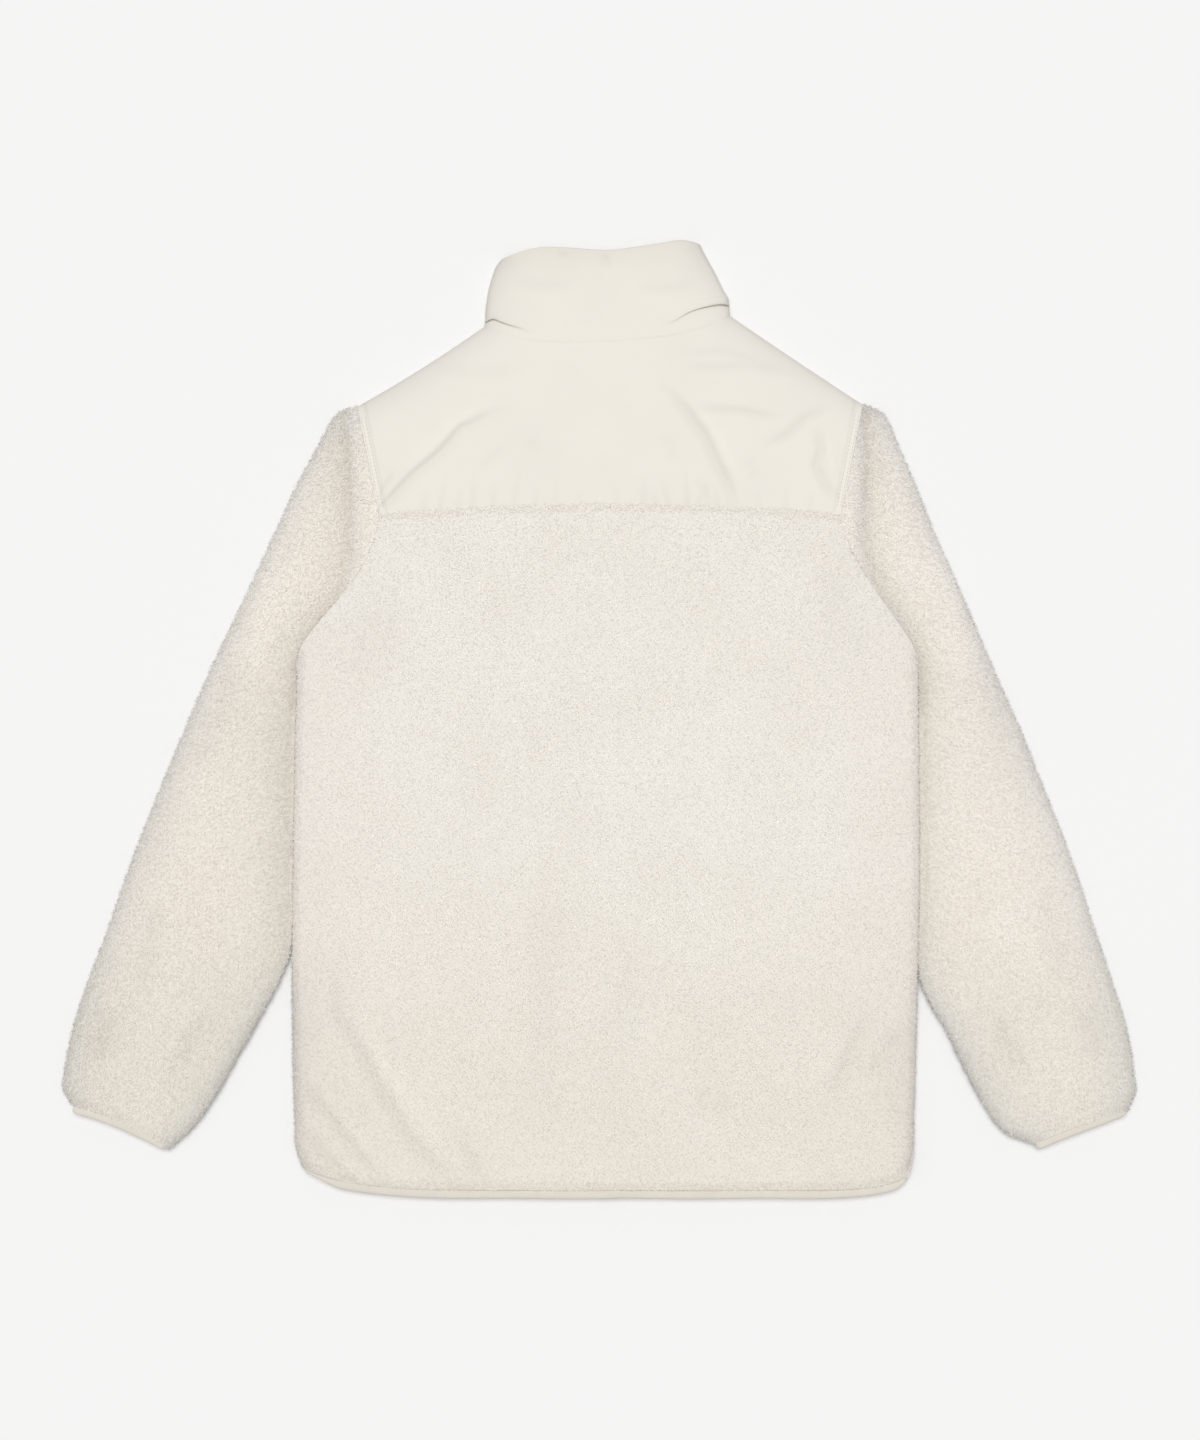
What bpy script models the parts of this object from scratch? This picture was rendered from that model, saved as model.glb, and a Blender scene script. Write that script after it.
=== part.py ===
"""Reversible fleece jacket, laid flat on its front with its back up.

X runs across the jacket, Y from hem to collar, Z up from the surface it lies on. The sizes below are in
millimetres, and the mesh code turns them into metres. The origin is the centre of the footprint.
"""

import math
from collections import namedtuple

import bpy
import numpy as np

MM = 0.001

# The layers. Both lie flat, with a thin hollow between them, and the cloth rolls over at the folded edges
MIDDLE = 6.3  # height of the folded edges
HALF_GAP = 1.8  # half of the hollow between back and front
EDGE = 6.3  # radius of a folded edge
FLEECE_TOP = 13.0
YOKE_TOP_AT_SEAM = 11.4
YOKE_TOP_AT_NECK = 10.6
SLEEVE_TOP = 12.6
SLEEVE_TOP_AT_SEAM = 11.6
SLEEVE_TOP_AT_CUFF = 11.3
SEAM = 0.3  # space between two pieces that are sewn together
RIM = 0.75  # half height of the blunt rim where back and front meet on a fold
FOLD_STEPS = (1.0, 0.5, 0.134, 0.0)  # rows of points on a rolled edge, as shares of its radius
CENTRE_X = 6.0

# Side seams from the hem to the underarm
Side = namedtuple("Side", "y left right")
BODY_SIDES = (
    Side(-381.0, -253.0, 263.0),
    Side(-366.0, -258.5, 266.5),
    Side(-345.0, -259.6, 267.0),
    Side(-310.0, -261.0, 268.2),
    Side(-270.0, -261.5, 269.2),
    Side(-230.0, -262.0, 270.2),
    Side(-190.0, -262.0, 271.2),
    Side(-145.0, -261.5, 272.0),
    Side(-100.0, -261.0, 272.0),
    Side(-55.0, -260.0, 271.8),
    Side(-15.0, -259.5, 271.5),
    Side(18.0, -258.5, 271.2),
    Side(36.0, -258.0, 270.9),
    Side(54.0, -257.6, 270.3),
)
# The armhole seam from just over the underarm to the lower corner of the yoke
ARMHOLE = (
    Side(65.0, -253.0, 265.6),
    Side(83.0, -239.7, 253.3),
    Side(105.0, -221.0, 238.0),
    Side(129.0, -204.0, 222.7),
    Side(153.0, -192.5, 210.8),
    Side(176.0, -188.0, 205.0),
)
SHOULDER_LEFT = (-206.6, 267.3)
SHOULDER_RIGHT = (223.6, 269.0)
NECK_LEFT = (-98.6, 335.3)
NECK_RIGHT = (110.5, 344.7)
SHOULDER_SAG_LEFT = 2.0
SHOULDER_SAG_RIGHT = 0.5
BACK_NECK_DEPTH = 17.5
BACK_NECK_POWER = 3.2
FRONT_NECK_DEPTH = 82.0
FRONT_NECK_POWER = 2.4
YOKE_SEAM_RISE = 8.5
YOKE_STEPS = (0.0, 0.2, 0.4, 0.6, 0.8, 1.0)
YOKE_BAND_WIDTH = 5.8
YOKE_BAND_HEIGHT = 0.8
HEM_DIP = 20.5  # the hem's middle lies this far below the first row of the table
HEM_RISE_LEFT = 20.5  # and it rises this much from there to its corner
HEM_RISE_RIGHT = 14.5
HEM_POWER_LEFT = 6
HEM_POWER_RIGHT = 12
HEM_FADE = 80.0  # the rows above the hem straighten over this height
FLEECE_SEAM_DIP = 0.8  # the fleece is this much lower along the yoke seam

# Columns of a panel, as shares from the centre line to where the side rolls over. NECK_SHARE is the neck
# point's column, with three columns close beside it for the turn of the neckline
NECK_SHARE = 0.5
FLAT_SHARES = (0.0, 0.08, 0.16, 0.24, 0.32, 0.40, 0.47, 0.485, 0.496, 0.5, 0.56, 0.62, 0.69, 0.77, 0.85, 0.93, 1.0)

# Sleeve edges, seen from above
SLEEVE_OUTER = (
    Side(-319.0, -455.6, 455.6),
    Side(-306.4, -456.5, 454.8),
    Side(-272.4, -450.5, 450.5),
    Side(-238.4, -442.0, 441.2),
    Side(-204.4, -428.4, 429.3),
    Side(-153.4, -410.6, 413.1),
    Side(-102.4, -391.9, 395.3),
    Side(-51.4, -371.5, 374.9),
    Side(0.0, -350.0, 354.3),
    Side(50.6, -328.1, 331.5),
    Side(101.6, -303.5, 310.3),
    Side(152.6, -279.7, 287.3),
    Side(203.6, -255.9, 266.9),
    Side(237.6, -237.2, 251.6),
    Side(254.6, -226.4, 243.0),
)
SLEEVE_INNER = (
    Side(-353.0, -352.8, 347.5),
    Side(-340.0, -340.9, 336.6),
    Side(-323.0, -329.8, 324.7),
    Side(-306.0, -320.5, 316.2),
    Side(-289.0, -310.3, 306.9),
    Side(-272.0, -300.9, 299.2),
    Side(-255.0, -290.7, 289.9),
    Side(-238.0, -281.4, 279.7),
    Side(-221.0, -272.9, 273.0),
    Side(-204.0, -266.1, 271.0),
    Side(-190.0, -262.5, 271.5),
    Side(54.0, -255.0, 265.0),
)
CREASE_GAP = 0.6  # the sleeve lies this close beside the body
# Where each ring of the sleeve starts on the outer edge and ends on the inner edge, how much of the
# armhole's curve it still has, and how far it leans out near the underarm
SleeveRing = namedtuple("SleeveRing", "outer_y inner_y curve lean")
SLEEVE_RINGS = (
    SleeveRing(254.6, 38.0, 0.5, 20.0),
    SleeveRing(232.0, 24.0, 0.3, 18.0),
    SleeveRing(200.0, 8.0, 0.12, 15.0),
    SleeveRing(160.0, -14.0, 0.0, 10.0),
    SleeveRing(118.0, -38.0, 0.0, 5.0),
    SleeveRing(75.0, -64.0, 0.0, 0.0),
    SleeveRing(32.0, -92.0, 0.0, 0.0),
    SleeveRing(-12.0, -120.0, 0.0, 0.0),
    SleeveRing(-56.0, -147.0, 0.0, 0.0),
    SleeveRing(-100.0, -172.0, 0.0, 0.0),
    SleeveRing(-142.0, -196.0, 0.0, 0.0),
    SleeveRing(-184.0, -218.0, 0.0, 0.0),
    SleeveRing(-222.0, -240.0, 0.0, 0.0),
    SleeveRing(-256.0, -265.0, 0.0, 0.0),
    SleeveRing(-284.0, -293.0, 0.0, 0.0),
    SleeveRing(-304.0, -324.0, 0.0, 0.0),
    SleeveRing(-318.0, -352.0, 0.0, 0.0),
)
LEAN_SCALE = 6.75  # makes the lean's curve 1 at its highest
UNDERARM_FAN = 4.0  # the first rings turn round the underarm within this distance
FAN_TURN = 2.0  # how much wider the seam's gap gets at the underarm's end, sideways
FAN_START = 0.4  # share of the armhole, from the shoulder, where the rings start to follow its own curve
FAN_SPREAD = 0.3
CREASE_BOTTOM_ROW = 2
SLEEVE_FOLD_FADE = 4.0  # the folds die out within this height of the folded edge
CUFF_LEFT = ((-449.0, -327.7), (-367.5, -362.0))
CUFF_RIGHT = ((448.8, -330.0), (368.5, -360.5))
CUFF_BOW_LEFT = 4.0  # the cuff's edge curves up this far in its middle
CUFF_BOW_RIGHT = 0.5
CUFF_POINTS = 9
# A deep crease beside the armhole: distances out from the seam of its two flanks and its bottom
Crease = namedtuple("Crease", "share near bottom far depth")
ARMHOLE_CREASE = (
    Crease(0.0, 6.0, 11.0, 16.0, 0.0),
    Crease(0.11, 8.0, 13.5, 19.0, 1.6),
    Crease(0.34, 10.0, 16.5, 23.0, 3.0),
    Crease(0.41, 9.0, 15.5, 22.0, 3.0),
    Crease(0.57, 4.0, 9.0, 15.0, 3.0),
    Crease(0.72, 1.6, 3.8, 8.0, 2.6),
    Crease(1.0, 1.5, 3.5, 6.0, 0.0),
)

# Soft folds: troughs, or ridges where the depth is negative, from one point to another
Fold = namedtuple("Fold", "x0 y0 x1 y1 width depth")
BODY_FOLDS = (
    Fold(-248, -215, -118, -392, 13, 1.5),
    Fold(-254, -300, -172, -398, 11, 1.4),
    Fold(-225, -235, -85, -395, 15, -0.8),
    Fold(-46, -120, -48, -380, 17, 1.2),
    Fold(-10, -170, -14, -390, 17, 0.9),
    Fold(245, -265, 190, -350, 14, 1.3),
    Fold(262, -215, 250, -360, 12, 0.9),
    Fold(76, -322, 124, -330, 12, 0.8),
)
YOKE_FOLDS = (
    Fold(-176, 186, -104, 252, 8, 1.0),
    Fold(42, 272, 112, 188, 8, 1.0),
    Fold(85, 262, 165, 264, 7, 0.8),
    Fold(166, 256, 124, 228, 8, 0.7),
    Fold(182, 238, 200, 194, 7, 0.8),
)
SLEEVE_FOLDS = (
    Fold(-300, 60, -345, -60, 12, 1.0),
    Fold(-372, -150, -395, -250, 12, 1.1),
    Fold(-330, -240, -370, -310, 10, 0.8),
    Fold(318, 70, 352, -40, 12, 0.9),
    Fold(372, -130, 398, -235, 12, 1.0),
    Fold(335, -250, 368, -305, 10, 0.8),
)

# The stand collar, from its seam to its top. A bow is how far the middle of a row lies off its two ends
CollarRow = namedtuple("CollarRow", "left_x left_y right_x right_y back_bow front_bow settle bulge")
COLLAR_ROWS = (
    CollarRow(-98.6, 335.3, 110.5, 344.7, -17.5, -82.0, 0.0, 0.0),
    CollarRow(-98.3, 338.6, 110.3, 347.6, -14.8, -80.3, 0.5, -0.9),
    CollarRow(-98.1, 341.8, 110.1, 350.4, -12.4, -78.7, 0.8, -1.1),
    CollarRow(-98.0, 343.6, 110.0, 352.0, -11.0, -77.7, 1.0, 2.2),
    CollarRow(-97.6, 348.5, 109.4, 355.4, -8.2, -75.0, 1.0, 2.0),
    CollarRow(-96.8, 356.0, 107.8, 360.5, -5.2, -71.5, 1.0, 0.7),
    CollarRow(-95.0, 367.0, 103.6, 370.0, -1.5, -66.5, 1.0, 0.0),
    CollarRow(-92.0, 377.5, 97.5, 382.0, 2.5, -62.0, 1.0, 0.0),
    CollarRow(-88.5, 387.0, 90.0, 395.0, 4.5, -58.5, 1.0, 0.0),
    CollarRow(-84.5, 391.5, 85.5, 404.0, 5.0, -57.0, 1.0, -0.7),
)
COLLAR_MIDDLE = 5.2
COLLAR_TOP = 10.2
COLLAR_EDGE = 5.2
COLLAR_TOP_POWER = 4.0
COLLAR_BACK_STEPS = 18
COLLAR_FRONT_STEPS = 7
# At both sides the collar bulges down over its own foot. The bulge dies out this far in from the sides
BULGE_REACH_LEFT = 38.0
BULGE_REACH_RIGHT = 50.0

# Bindings
BINDING_HALF = 4.8  # half the height of a bound edge
BINDING_EDGE = 4.8
BINDING_CROWN = 0.8
HEM_BINDING_WIDTH = 7.6
BINDING_INSET = 1.2
CUFF_BINDING_WIDTH = 6.6
LEAST_STEP = 1.0  # least space between two columns of the hem binding
BINDING_ROWS = ((0.0, 1.0), (0.17, 0.0), (0.83, 0.0), (1.0, 1.0))  # share of the width, share of the crown

# Zip, closed up to the top of the collar. Heights are at the collar. Over the body it lies ZIP_RISE higher
ZIP_GAP_HALF = 7.0
ZIP_LEFT = CENTRE_X - ZIP_GAP_HALF
ZIP_RIGHT = CENTRE_X + ZIP_GAP_HALF
ZIP_TAPE_HALF = 16.0
ZIP_TAPE_THICK = 0.8
ZIP_CENTRE_Z = 4.1
ZIP_RISE = 1.1
ZIP_BEAD_HALF = 2.6
ZIP_BEAD_SLOPE = 0.2
ZIP_BEAD_THICK = 1.6
ZIP_BEAD_RUN = 1.0  # the bead ends this far over the slider's middle, and thins over the same length
ZIP_BARE_EDGE = 2.1  # the tape's edge over the slider, from the zip's middle
ZIP_BOTTOM_Y = -408.0
ZIP_TOP_Y = 336.0
ZIP_DESCENT = (260.0, 280.0)
SLIDER_Y = 321.0
SLIDER_LENGTH = 13.0
SLIDER_HALF_WIDTH = 4.6
SLIDER_PLATE = 0.8
SLIDER_PLAY = 0.3
POST_HALF_WIDTH = 1.5
POST_LENGTH = 3.0
BRIDGE_HALF_WIDTH = 0.95
BRIDGE_BAR = 0.7
BRIDGE_LEG = 0.9
BRIDGE_HALF_LENGTH = 2.3
BRIDGE_LEG_INSET = 0.05
SLIDER_OVERLAP = 0.2  # how far the slider's pieces run into each other
TAB_THICK = 0.8
TAB_HALF_WIDTH = 2.9
TAB_LENGTH = 25.0
TAB_BAR_HALF = 0.4
TAB_WINDOW_HALF = 1.5
TAB_WINDOW_LENGTH = 6.0
TAB_NECK_END_HALF = 2.4
TAB_SHOULDER = 2.0  # length over which the tab widens below its window, and of its cut corners
TAB_CORNER = 1.2
CUT_MARGIN = 1.0  # how far the window's cutter reaches over the tab's faces

# Colours: red, green, blue, roughness, metallic
MATERIALS = {
    "fleece": (0.80, 0.75, 0.67, 0.95, 0.0),
    "woven": (0.84, 0.80, 0.73, 0.7, 0.0),
    "binding": (0.80, 0.74, 0.64, 0.75, 0.0),
    "zip_tape": (0.80, 0.75, 0.66, 0.8, 0.0),
    "zip_metal": (0.75, 0.72, 0.66, 0.35, 1.0),
}


# Helpers

def smoothstep(value):
    t = np.clip(value, 0.0, 1.0)
    return t * t * (3.0 - 2.0 * t)


def unit(vectors):
    return vectors / np.linalg.norm(vectors, axis=-1, keepdims=True)


def roll(distance, radius):
    """Share of the full height at this distance in from a folded edge."""
    inside = np.clip(1.0 - distance / radius, 0.0, 1.0)
    return np.sqrt(1.0 - inside**2)


def hollow(distance, radius):
    """Half of the hollow at this distance in from a folded edge."""
    inside = np.clip((radius - distance) / HALF_GAP, 0.0, 1.0)
    return HALF_GAP * np.sqrt(1.0 - inside**2)


def trough(folds, plan):
    """How far the folds lower the cloth at these points."""
    total = np.zeros(plan.shape[:-1])
    for fold in folds:
        start = np.array((fold.x0, fold.y0), dtype=float)
        along = np.array((fold.x1, fold.y1)) - start
        share = np.clip((plan - start) @ along / (along @ along), 0.0, 1.0)
        off = np.linalg.norm(plan - start - share[..., None] * along, axis=-1)
        fade = smoothstep(share * 4.0) * smoothstep((1.0 - share) * 4.0)
        total += fold.depth * fade * np.exp(-((off / fold.width) ** 2))
    return total


def distance_to_line(points, line):
    """Distance of each point to a line through several points, seen from above."""
    best = np.full(points.shape[:-1], np.inf)
    for a, b in zip(line, line[1:]):
        along = b - a
        share = np.clip((points - a) @ along / (along @ along), 0.0, 1.0)
        best = np.minimum(best, np.linalg.norm(points - a - share[..., None] * along, axis=-1))
    return best


def at_distance(line, distances):
    """Points of a line at these distances from its start."""
    steps = np.linalg.norm(np.diff(line, axis=0), axis=1)
    gone = np.concatenate([[0.0], np.cumsum(steps)])
    return np.stack([np.interp(distances, gone, line[:, k]) for k in range(2)], axis=-1)


def line_length(line):
    return np.linalg.norm(np.diff(line, axis=0), axis=1).sum()


def edge_x(table, y, is_left):
    """x of an edge given by a table, at height y."""
    rows = sorted(table, key=lambda row: row.y)
    xs = [row.left if is_left else row.right for row in rows]
    return np.interp(y, [row.y for row in rows], xs)


def with_height(plan, z):
    return np.concatenate([plan, np.broadcast_to(z, plan.shape[:-1])[..., None]], axis=-1)


# Meshes

def new_object(name, points, faces, material):
    """One named mesh object from points in millimetres, with its faces turned outward."""
    mesh = bpy.data.meshes.new(name)
    mesh.from_pydata([tuple(p * MM) for p in points], [], faces)
    mesh.validate()
    if signed_volume(points, faces) < 0.0:
        mesh.flip_normals()
    mesh.shade_smooth()
    mesh.set_sharp_from_angle(angle=math.radians(40.0))
    mesh.materials.append(material)
    made = bpy.data.objects.new(name, mesh)
    bpy.context.scene.collection.objects.link(made)
    return made


def signed_volume(points, faces):
    total = 0.0
    for face in faces:
        for b, c in zip(face[1:], face[2:]):
            total += points[face[0]] @ np.cross(points[b], points[c])
    return total / 6.0


def cloth_wall(name, outer, inner, material, ring=False):
    """A closed wall between an outer and an inner grid. In a ring the columns run all the way round."""
    rows, columns = outer.shape[:2]
    count = rows * columns
    faces = []
    for start, flip in ((0, False), (count, True)):
        for r in range(rows - 1):
            for c in range(columns if ring else columns - 1):
                a = start + r * columns + c
                b = start + r * columns + (c + 1) % columns
                quad = (a, b, b + columns, a + columns)
                faces.append(quad[::-1] if flip else quad)
    bottom = list(range(columns))
    top = [(rows - 1) * columns + c for c in range(columns)]
    if ring:
        rims = [bottom + bottom[:1], top[::-1] + top[-1:]]
    else:
        right = [r * columns + columns - 1 for r in range(rows)]
        left = [r * columns for r in range(rows)]
        rims = [bottom + right[1:] + top[::-1][1:] + left[::-1][1:]]
    for loop in rims:
        faces += [(b, a, a + count, b + count) for a, b in zip(loop, loop[1:])]
    points = np.concatenate([outer.reshape(-1, 3), inner.reshape(-1, 3)])
    return new_object(name, points, faces, material)


# Plan of the body

def across(left, right, left_knee=None, right_knee=None):
    """x of every column of a row. A knee is where the neck point's column goes."""
    halves = []
    for side, edge, knee in ((-1.0, left, left_knee), (1.0, right, right_knee)):
        stop = edge - side * EDGE
        if knee is None:
            knee = CENTRE_X + NECK_SHARE * (stop - CENTRE_X)
        flat = np.interp(FLAT_SHARES, (0.0, NECK_SHARE, 1.0), (CENTRE_X, knee, stop))
        folded = [edge - side * EDGE * step for step in FOLD_STEPS[1:]]
        halves.append(np.concatenate([flat, folded]))
    return np.concatenate([halves[0][::-1], halves[1][1:]])


def side_share(x):
    """0 on the centre line and 1 at the sides of one row."""
    return np.where(x < CENTRE_X, (CENTRE_X - x) / (CENTRE_X - x[0]), (x - CENTRE_X) / (x[-1] - CENTRE_X))


def armhole_start():
    """Points close over the underarm, where the armhole seam climbs the rolled edge."""
    low, high = BODY_SIDES[-1], ARMHOLE[0]
    points = []
    for step in FOLD_STEPS[-2::-1]:
        share = step * EDGE / math.hypot(high.left - low.left, high.y - low.y)
        points.append(Side(*(a + share * (b - a) for a, b in zip(low, high))))
    return points


def lower_plan():
    """The body from the hem to the yoke seam, as rows of points."""
    rows = []
    for side in BODY_SIDES:
        x = across(side.left, side.right)
        rise = np.where(x < CENTRE_X, HEM_RISE_LEFT, HEM_RISE_RIGHT)
        power = np.where(x < CENTRE_X, HEM_POWER_LEFT, HEM_POWER_RIGHT)
        dip = HEM_DIP - rise * side_share(x) ** power
        fade = 1.0 - smoothstep((side.y - BODY_SIDES[0].y) / HEM_FADE)
        rows.append(np.stack([x, side.y - dip * fade], axis=1))
    for side in armhole_start() + list(ARMHOLE):
        x = across(side.left, side.right)
        climb = smoothstep((side.y - BODY_SIDES[-1].y) / (ARMHOLE[-1].y - BODY_SIDES[-1].y))
        rise = YOKE_SEAM_RISE * (1.0 - side_share(x) ** 2) * climb
        rows.append(np.stack([x, side.y + rise], axis=1))
    return np.array(rows)


def bow(share, depth, power):
    """A curve that is zero at both ends, where share is 0 and 1."""
    return depth * (1.0 - np.abs(2.0 * share - 1.0) ** power)


def top_line(x, front):
    """y of the shoulder lines and of the neckline between them."""
    knots = (SHOULDER_LEFT, NECK_LEFT, NECK_RIGHT, SHOULDER_RIGHT)
    straight = np.interp(x, [k[0] for k in knots], [k[1] for k in knots])
    neck = np.clip((x - NECK_LEFT[0]) / (NECK_RIGHT[0] - NECK_LEFT[0]), 0.0, 1.0)
    left = np.clip((x - SHOULDER_LEFT[0]) / (NECK_LEFT[0] - SHOULDER_LEFT[0]), 0.0, 1.0)
    right = np.clip((x - NECK_RIGHT[0]) / (SHOULDER_RIGHT[0] - NECK_RIGHT[0]), 0.0, 1.0)
    depth = FRONT_NECK_DEPTH if front else BACK_NECK_DEPTH
    power = FRONT_NECK_POWER if front else BACK_NECK_POWER
    sag = bow(left, SHOULDER_SAG_LEFT, 2.0) + bow(right, SHOULDER_SAG_RIGHT, 2.0)
    return straight - bow(neck, depth, power) - sag


def upper_plan(first_row, front):
    """From the height of the yoke seam to the shoulders and the neckline."""
    x = across(SHOULDER_LEFT[0], SHOULDER_RIGHT[0], NECK_LEFT[0], NECK_RIGHT[0])
    ends = np.stack([x, top_line(x, front)], axis=1)
    down = unit(first_row - ends)
    stop = ends + down * EDGE
    rows = [first_row + step * (stop - first_row) for step in YOKE_STEPS]
    rows += [ends + down * EDGE * step for step in FOLD_STEPS[1:]]
    return np.array(rows)


def body_edge_distance(plan):
    """Distance in from the folded edges of the body: the side seams and the shoulder lines."""
    sides = [np.array([(s.left, s.y) for s in BODY_SIDES]), np.array([(s.right, s.y) for s in BODY_SIDES])]
    for start, end in ((SHOULDER_LEFT, NECK_LEFT), (NECK_RIGHT, SHOULDER_RIGHT)):
        x = np.linspace(start[0], end[0], 9)
        sides.append(np.stack([x, top_line(x, False)], axis=1))
    return np.min([distance_to_line(plan, line) for line in sides], axis=0)


# Body panels

def upper_layer(name, plan, top, material):
    distance = body_edge_distance(plan)
    outer = MIDDLE + np.maximum(RIM, (top - MIDDLE) * roll(distance, EDGE))
    inner = MIDDLE + np.maximum(SEAM / 2.0, hollow(distance, EDGE))
    return cloth_wall(name, with_height(plan, outer), with_height(plan, inner), material)


def lower_layer(name, plan, material):
    distance = body_edge_distance(plan)
    outer = MIDDLE - np.maximum(RIM, MIDDLE * roll(distance, EDGE))
    inner = MIDDLE - np.maximum(SEAM / 2.0, hollow(distance, EDGE))
    return cloth_wall(name, with_height(plan, outer), with_height(plan, inner), material)


def make_back(material):
    plan = lower_plan()
    top = FLEECE_TOP - trough(BODY_FOLDS, plan)
    top[-1] -= FLEECE_SEAM_DIP
    upper_layer("back_panel", plan, top, material)


def make_yoke(material):
    plan = upper_plan(lower_plan()[-1], False)
    rows = plan.shape[0]
    climb = np.linspace(0.0, 1.0, rows)[:, None]
    top = YOKE_TOP_AT_SEAM + climb * (YOKE_TOP_AT_NECK - YOKE_TOP_AT_SEAM) - trough(YOKE_FOLDS, plan)
    from_side = np.minimum(plan[..., 0] - plan[:, :1, 0], plan[:, -1:, 0] - plan[..., 0])
    top = top + YOKE_BAND_HEIGHT * (from_side < YOKE_BAND_WIDTH)
    plan[0, :, 1] += SEAM
    upper_layer("back_yoke", plan, top, material)


def make_fronts(material):
    lower = lower_plan()
    whole = np.concatenate([lower, upper_plan(lower[-1], True)[1:]])
    middle = whole.shape[1] // 2
    left = whole[:, : middle + 1].copy()
    left[:, -1, 0] -= ZIP_GAP_HALF
    right = whole[:, middle:].copy()
    right[:, 0, 0] += ZIP_GAP_HALF
    lower_layer("front_left", left, material)
    lower_layer("front_right", right, material)


# Sleeves and cuffs

def ring_row(line, shares, over, under, middle, radius, edges=()):
    """One ring of a flattened tube over a line seen from above: outer points and inner points.

    The ring starts at the line's first end, goes over the top to its other end and comes back below. edges
    are the folded edges of the tube, where a ring meets them at a slant.
    """
    length = line_length(line)
    turn = np.array(FOLD_STEPS[::-1]) * radius
    places = np.concatenate([turn, radius + shares * (length - 2.0 * radius), (length - turn)[::-1]])
    from_end = np.minimum(places, length - places)
    inward = np.where(from_end < radius, radius - HALF_GAP * (1.0 - from_end / radius), from_end)
    inner_places = np.where(places < length / 2.0, inward, length - inward)
    outer_plan = at_distance(line, places)
    inner_plan = at_distance(line, inner_places)
    share = roll(np.min([from_end] + [distance_to_line(outer_plan, edge) for edge in edges], axis=0), radius)
    inner_share = roll(from_end, radius)
    over = np.broadcast_to(over, places.shape)
    back = slice(-2, 0, -1)
    outer = [with_height(outer_plan, middle + over * share), with_height(outer_plan, middle - under * share)[back]]
    inner = [
        with_height(inner_plan, middle + HALF_GAP * inner_share),
        with_height(inner_plan, middle - HALF_GAP * inner_share)[back],
    ]
    return np.concatenate(outer), np.concatenate(inner)


def armhole_seam(is_left):
    """The armhole seam from the shoulder to the underarm, seen from above."""
    column = 0 if is_left else -1
    lower = lower_plan()
    yoke_edge = upper_plan(lower[-1], False)[:, column]
    back_edge = lower[len(BODY_SIDES) - 1:, column]
    return np.concatenate([yoke_edge[::-1], back_edge[::-1][1:]])


def cuff_line(is_left, share):
    """Points on the sleeve's end, seen from above."""
    start, end = np.array(CUFF_LEFT if is_left else CUFF_RIGHT)
    rise = bow(share, CUFF_BOW_LEFT if is_left else CUFF_BOW_RIGHT, 2.0)
    return start + share[:, None] * (end - start) + rise[:, None] * (0.0, 1.0)


def sleeve_lines(is_left):
    """The sleeve's rings seen from above, from the armhole to the cuff, and their column shares."""
    seam = armhole_seam(is_left)
    outward = -1.0 if is_left else 1.0
    steps = np.linalg.norm(np.diff(seam, axis=0), axis=1)
    gone = np.concatenate([[0.0], np.cumsum(steps)])
    share = gone / gone[-1]
    curve = seam - (seam[0] + share[:, None] * (seam[-1] - seam[0]))
    lean = share**2 * (1.0 - share) * LEAN_SCALE
    rings = []
    for ring in SLEEVE_RINGS:
        start = np.array((edge_x(SLEEVE_OUTER, ring.outer_y, is_left), ring.outer_y))
        beside = edge_x(BODY_SIDES, ring.inner_y, is_left) + outward * CREASE_GAP
        reach = edge_x(SLEEVE_INNER, ring.inner_y, is_left)
        end = np.array((outward * max(outward * reach, outward * beside), ring.inner_y))
        line = start + share[:, None] * (end - start) + ring.curve * curve
        line[:, 0] += outward * ring.lean * lean
        rings.append(line)
    tangent = unit(np.gradient(seam, axis=0))
    normal = outward * np.stack([-tangent[:, 1], tangent[:, 0]], axis=1)
    if outward * normal[:, 0].sum() < 0.0:
        normal = -normal
    normal[-1] = (FAN_TURN * outward, 0.0)
    near_underarm = smoothstep((gone - gone[-1]) / UNDERARM_FAN + 1.0)[:, None]
    fan = unit((1.0 - near_underarm) * normal + near_underarm * (0.0, -1.0))
    fan[-1] = (0.0, -1.0)
    low_half = smoothstep((share - FAN_START) / FAN_SPREAD)[:, None]
    out = unit((1.0 - low_half) * unit(rings[0] - seam) + low_half * fan)
    first = seam + SEAM * normal
    crease = [first]
    for field in ("near", "bottom", "far"):
        reach = np.interp(share, [c.share for c in ARMHOLE_CREASE], [getattr(c, field) for c in ARMHOLE_CREASE])
        crease.append(first + reach[:, None] * out)
    turn = len(FOLD_STEPS) - 1
    shares = (gone[turn + 1:-turn - 1] - EDGE) / (gone[-1] - 2.0 * EDGE)
    return crease + rings + [cuff_line(is_left, share)], shares


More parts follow.
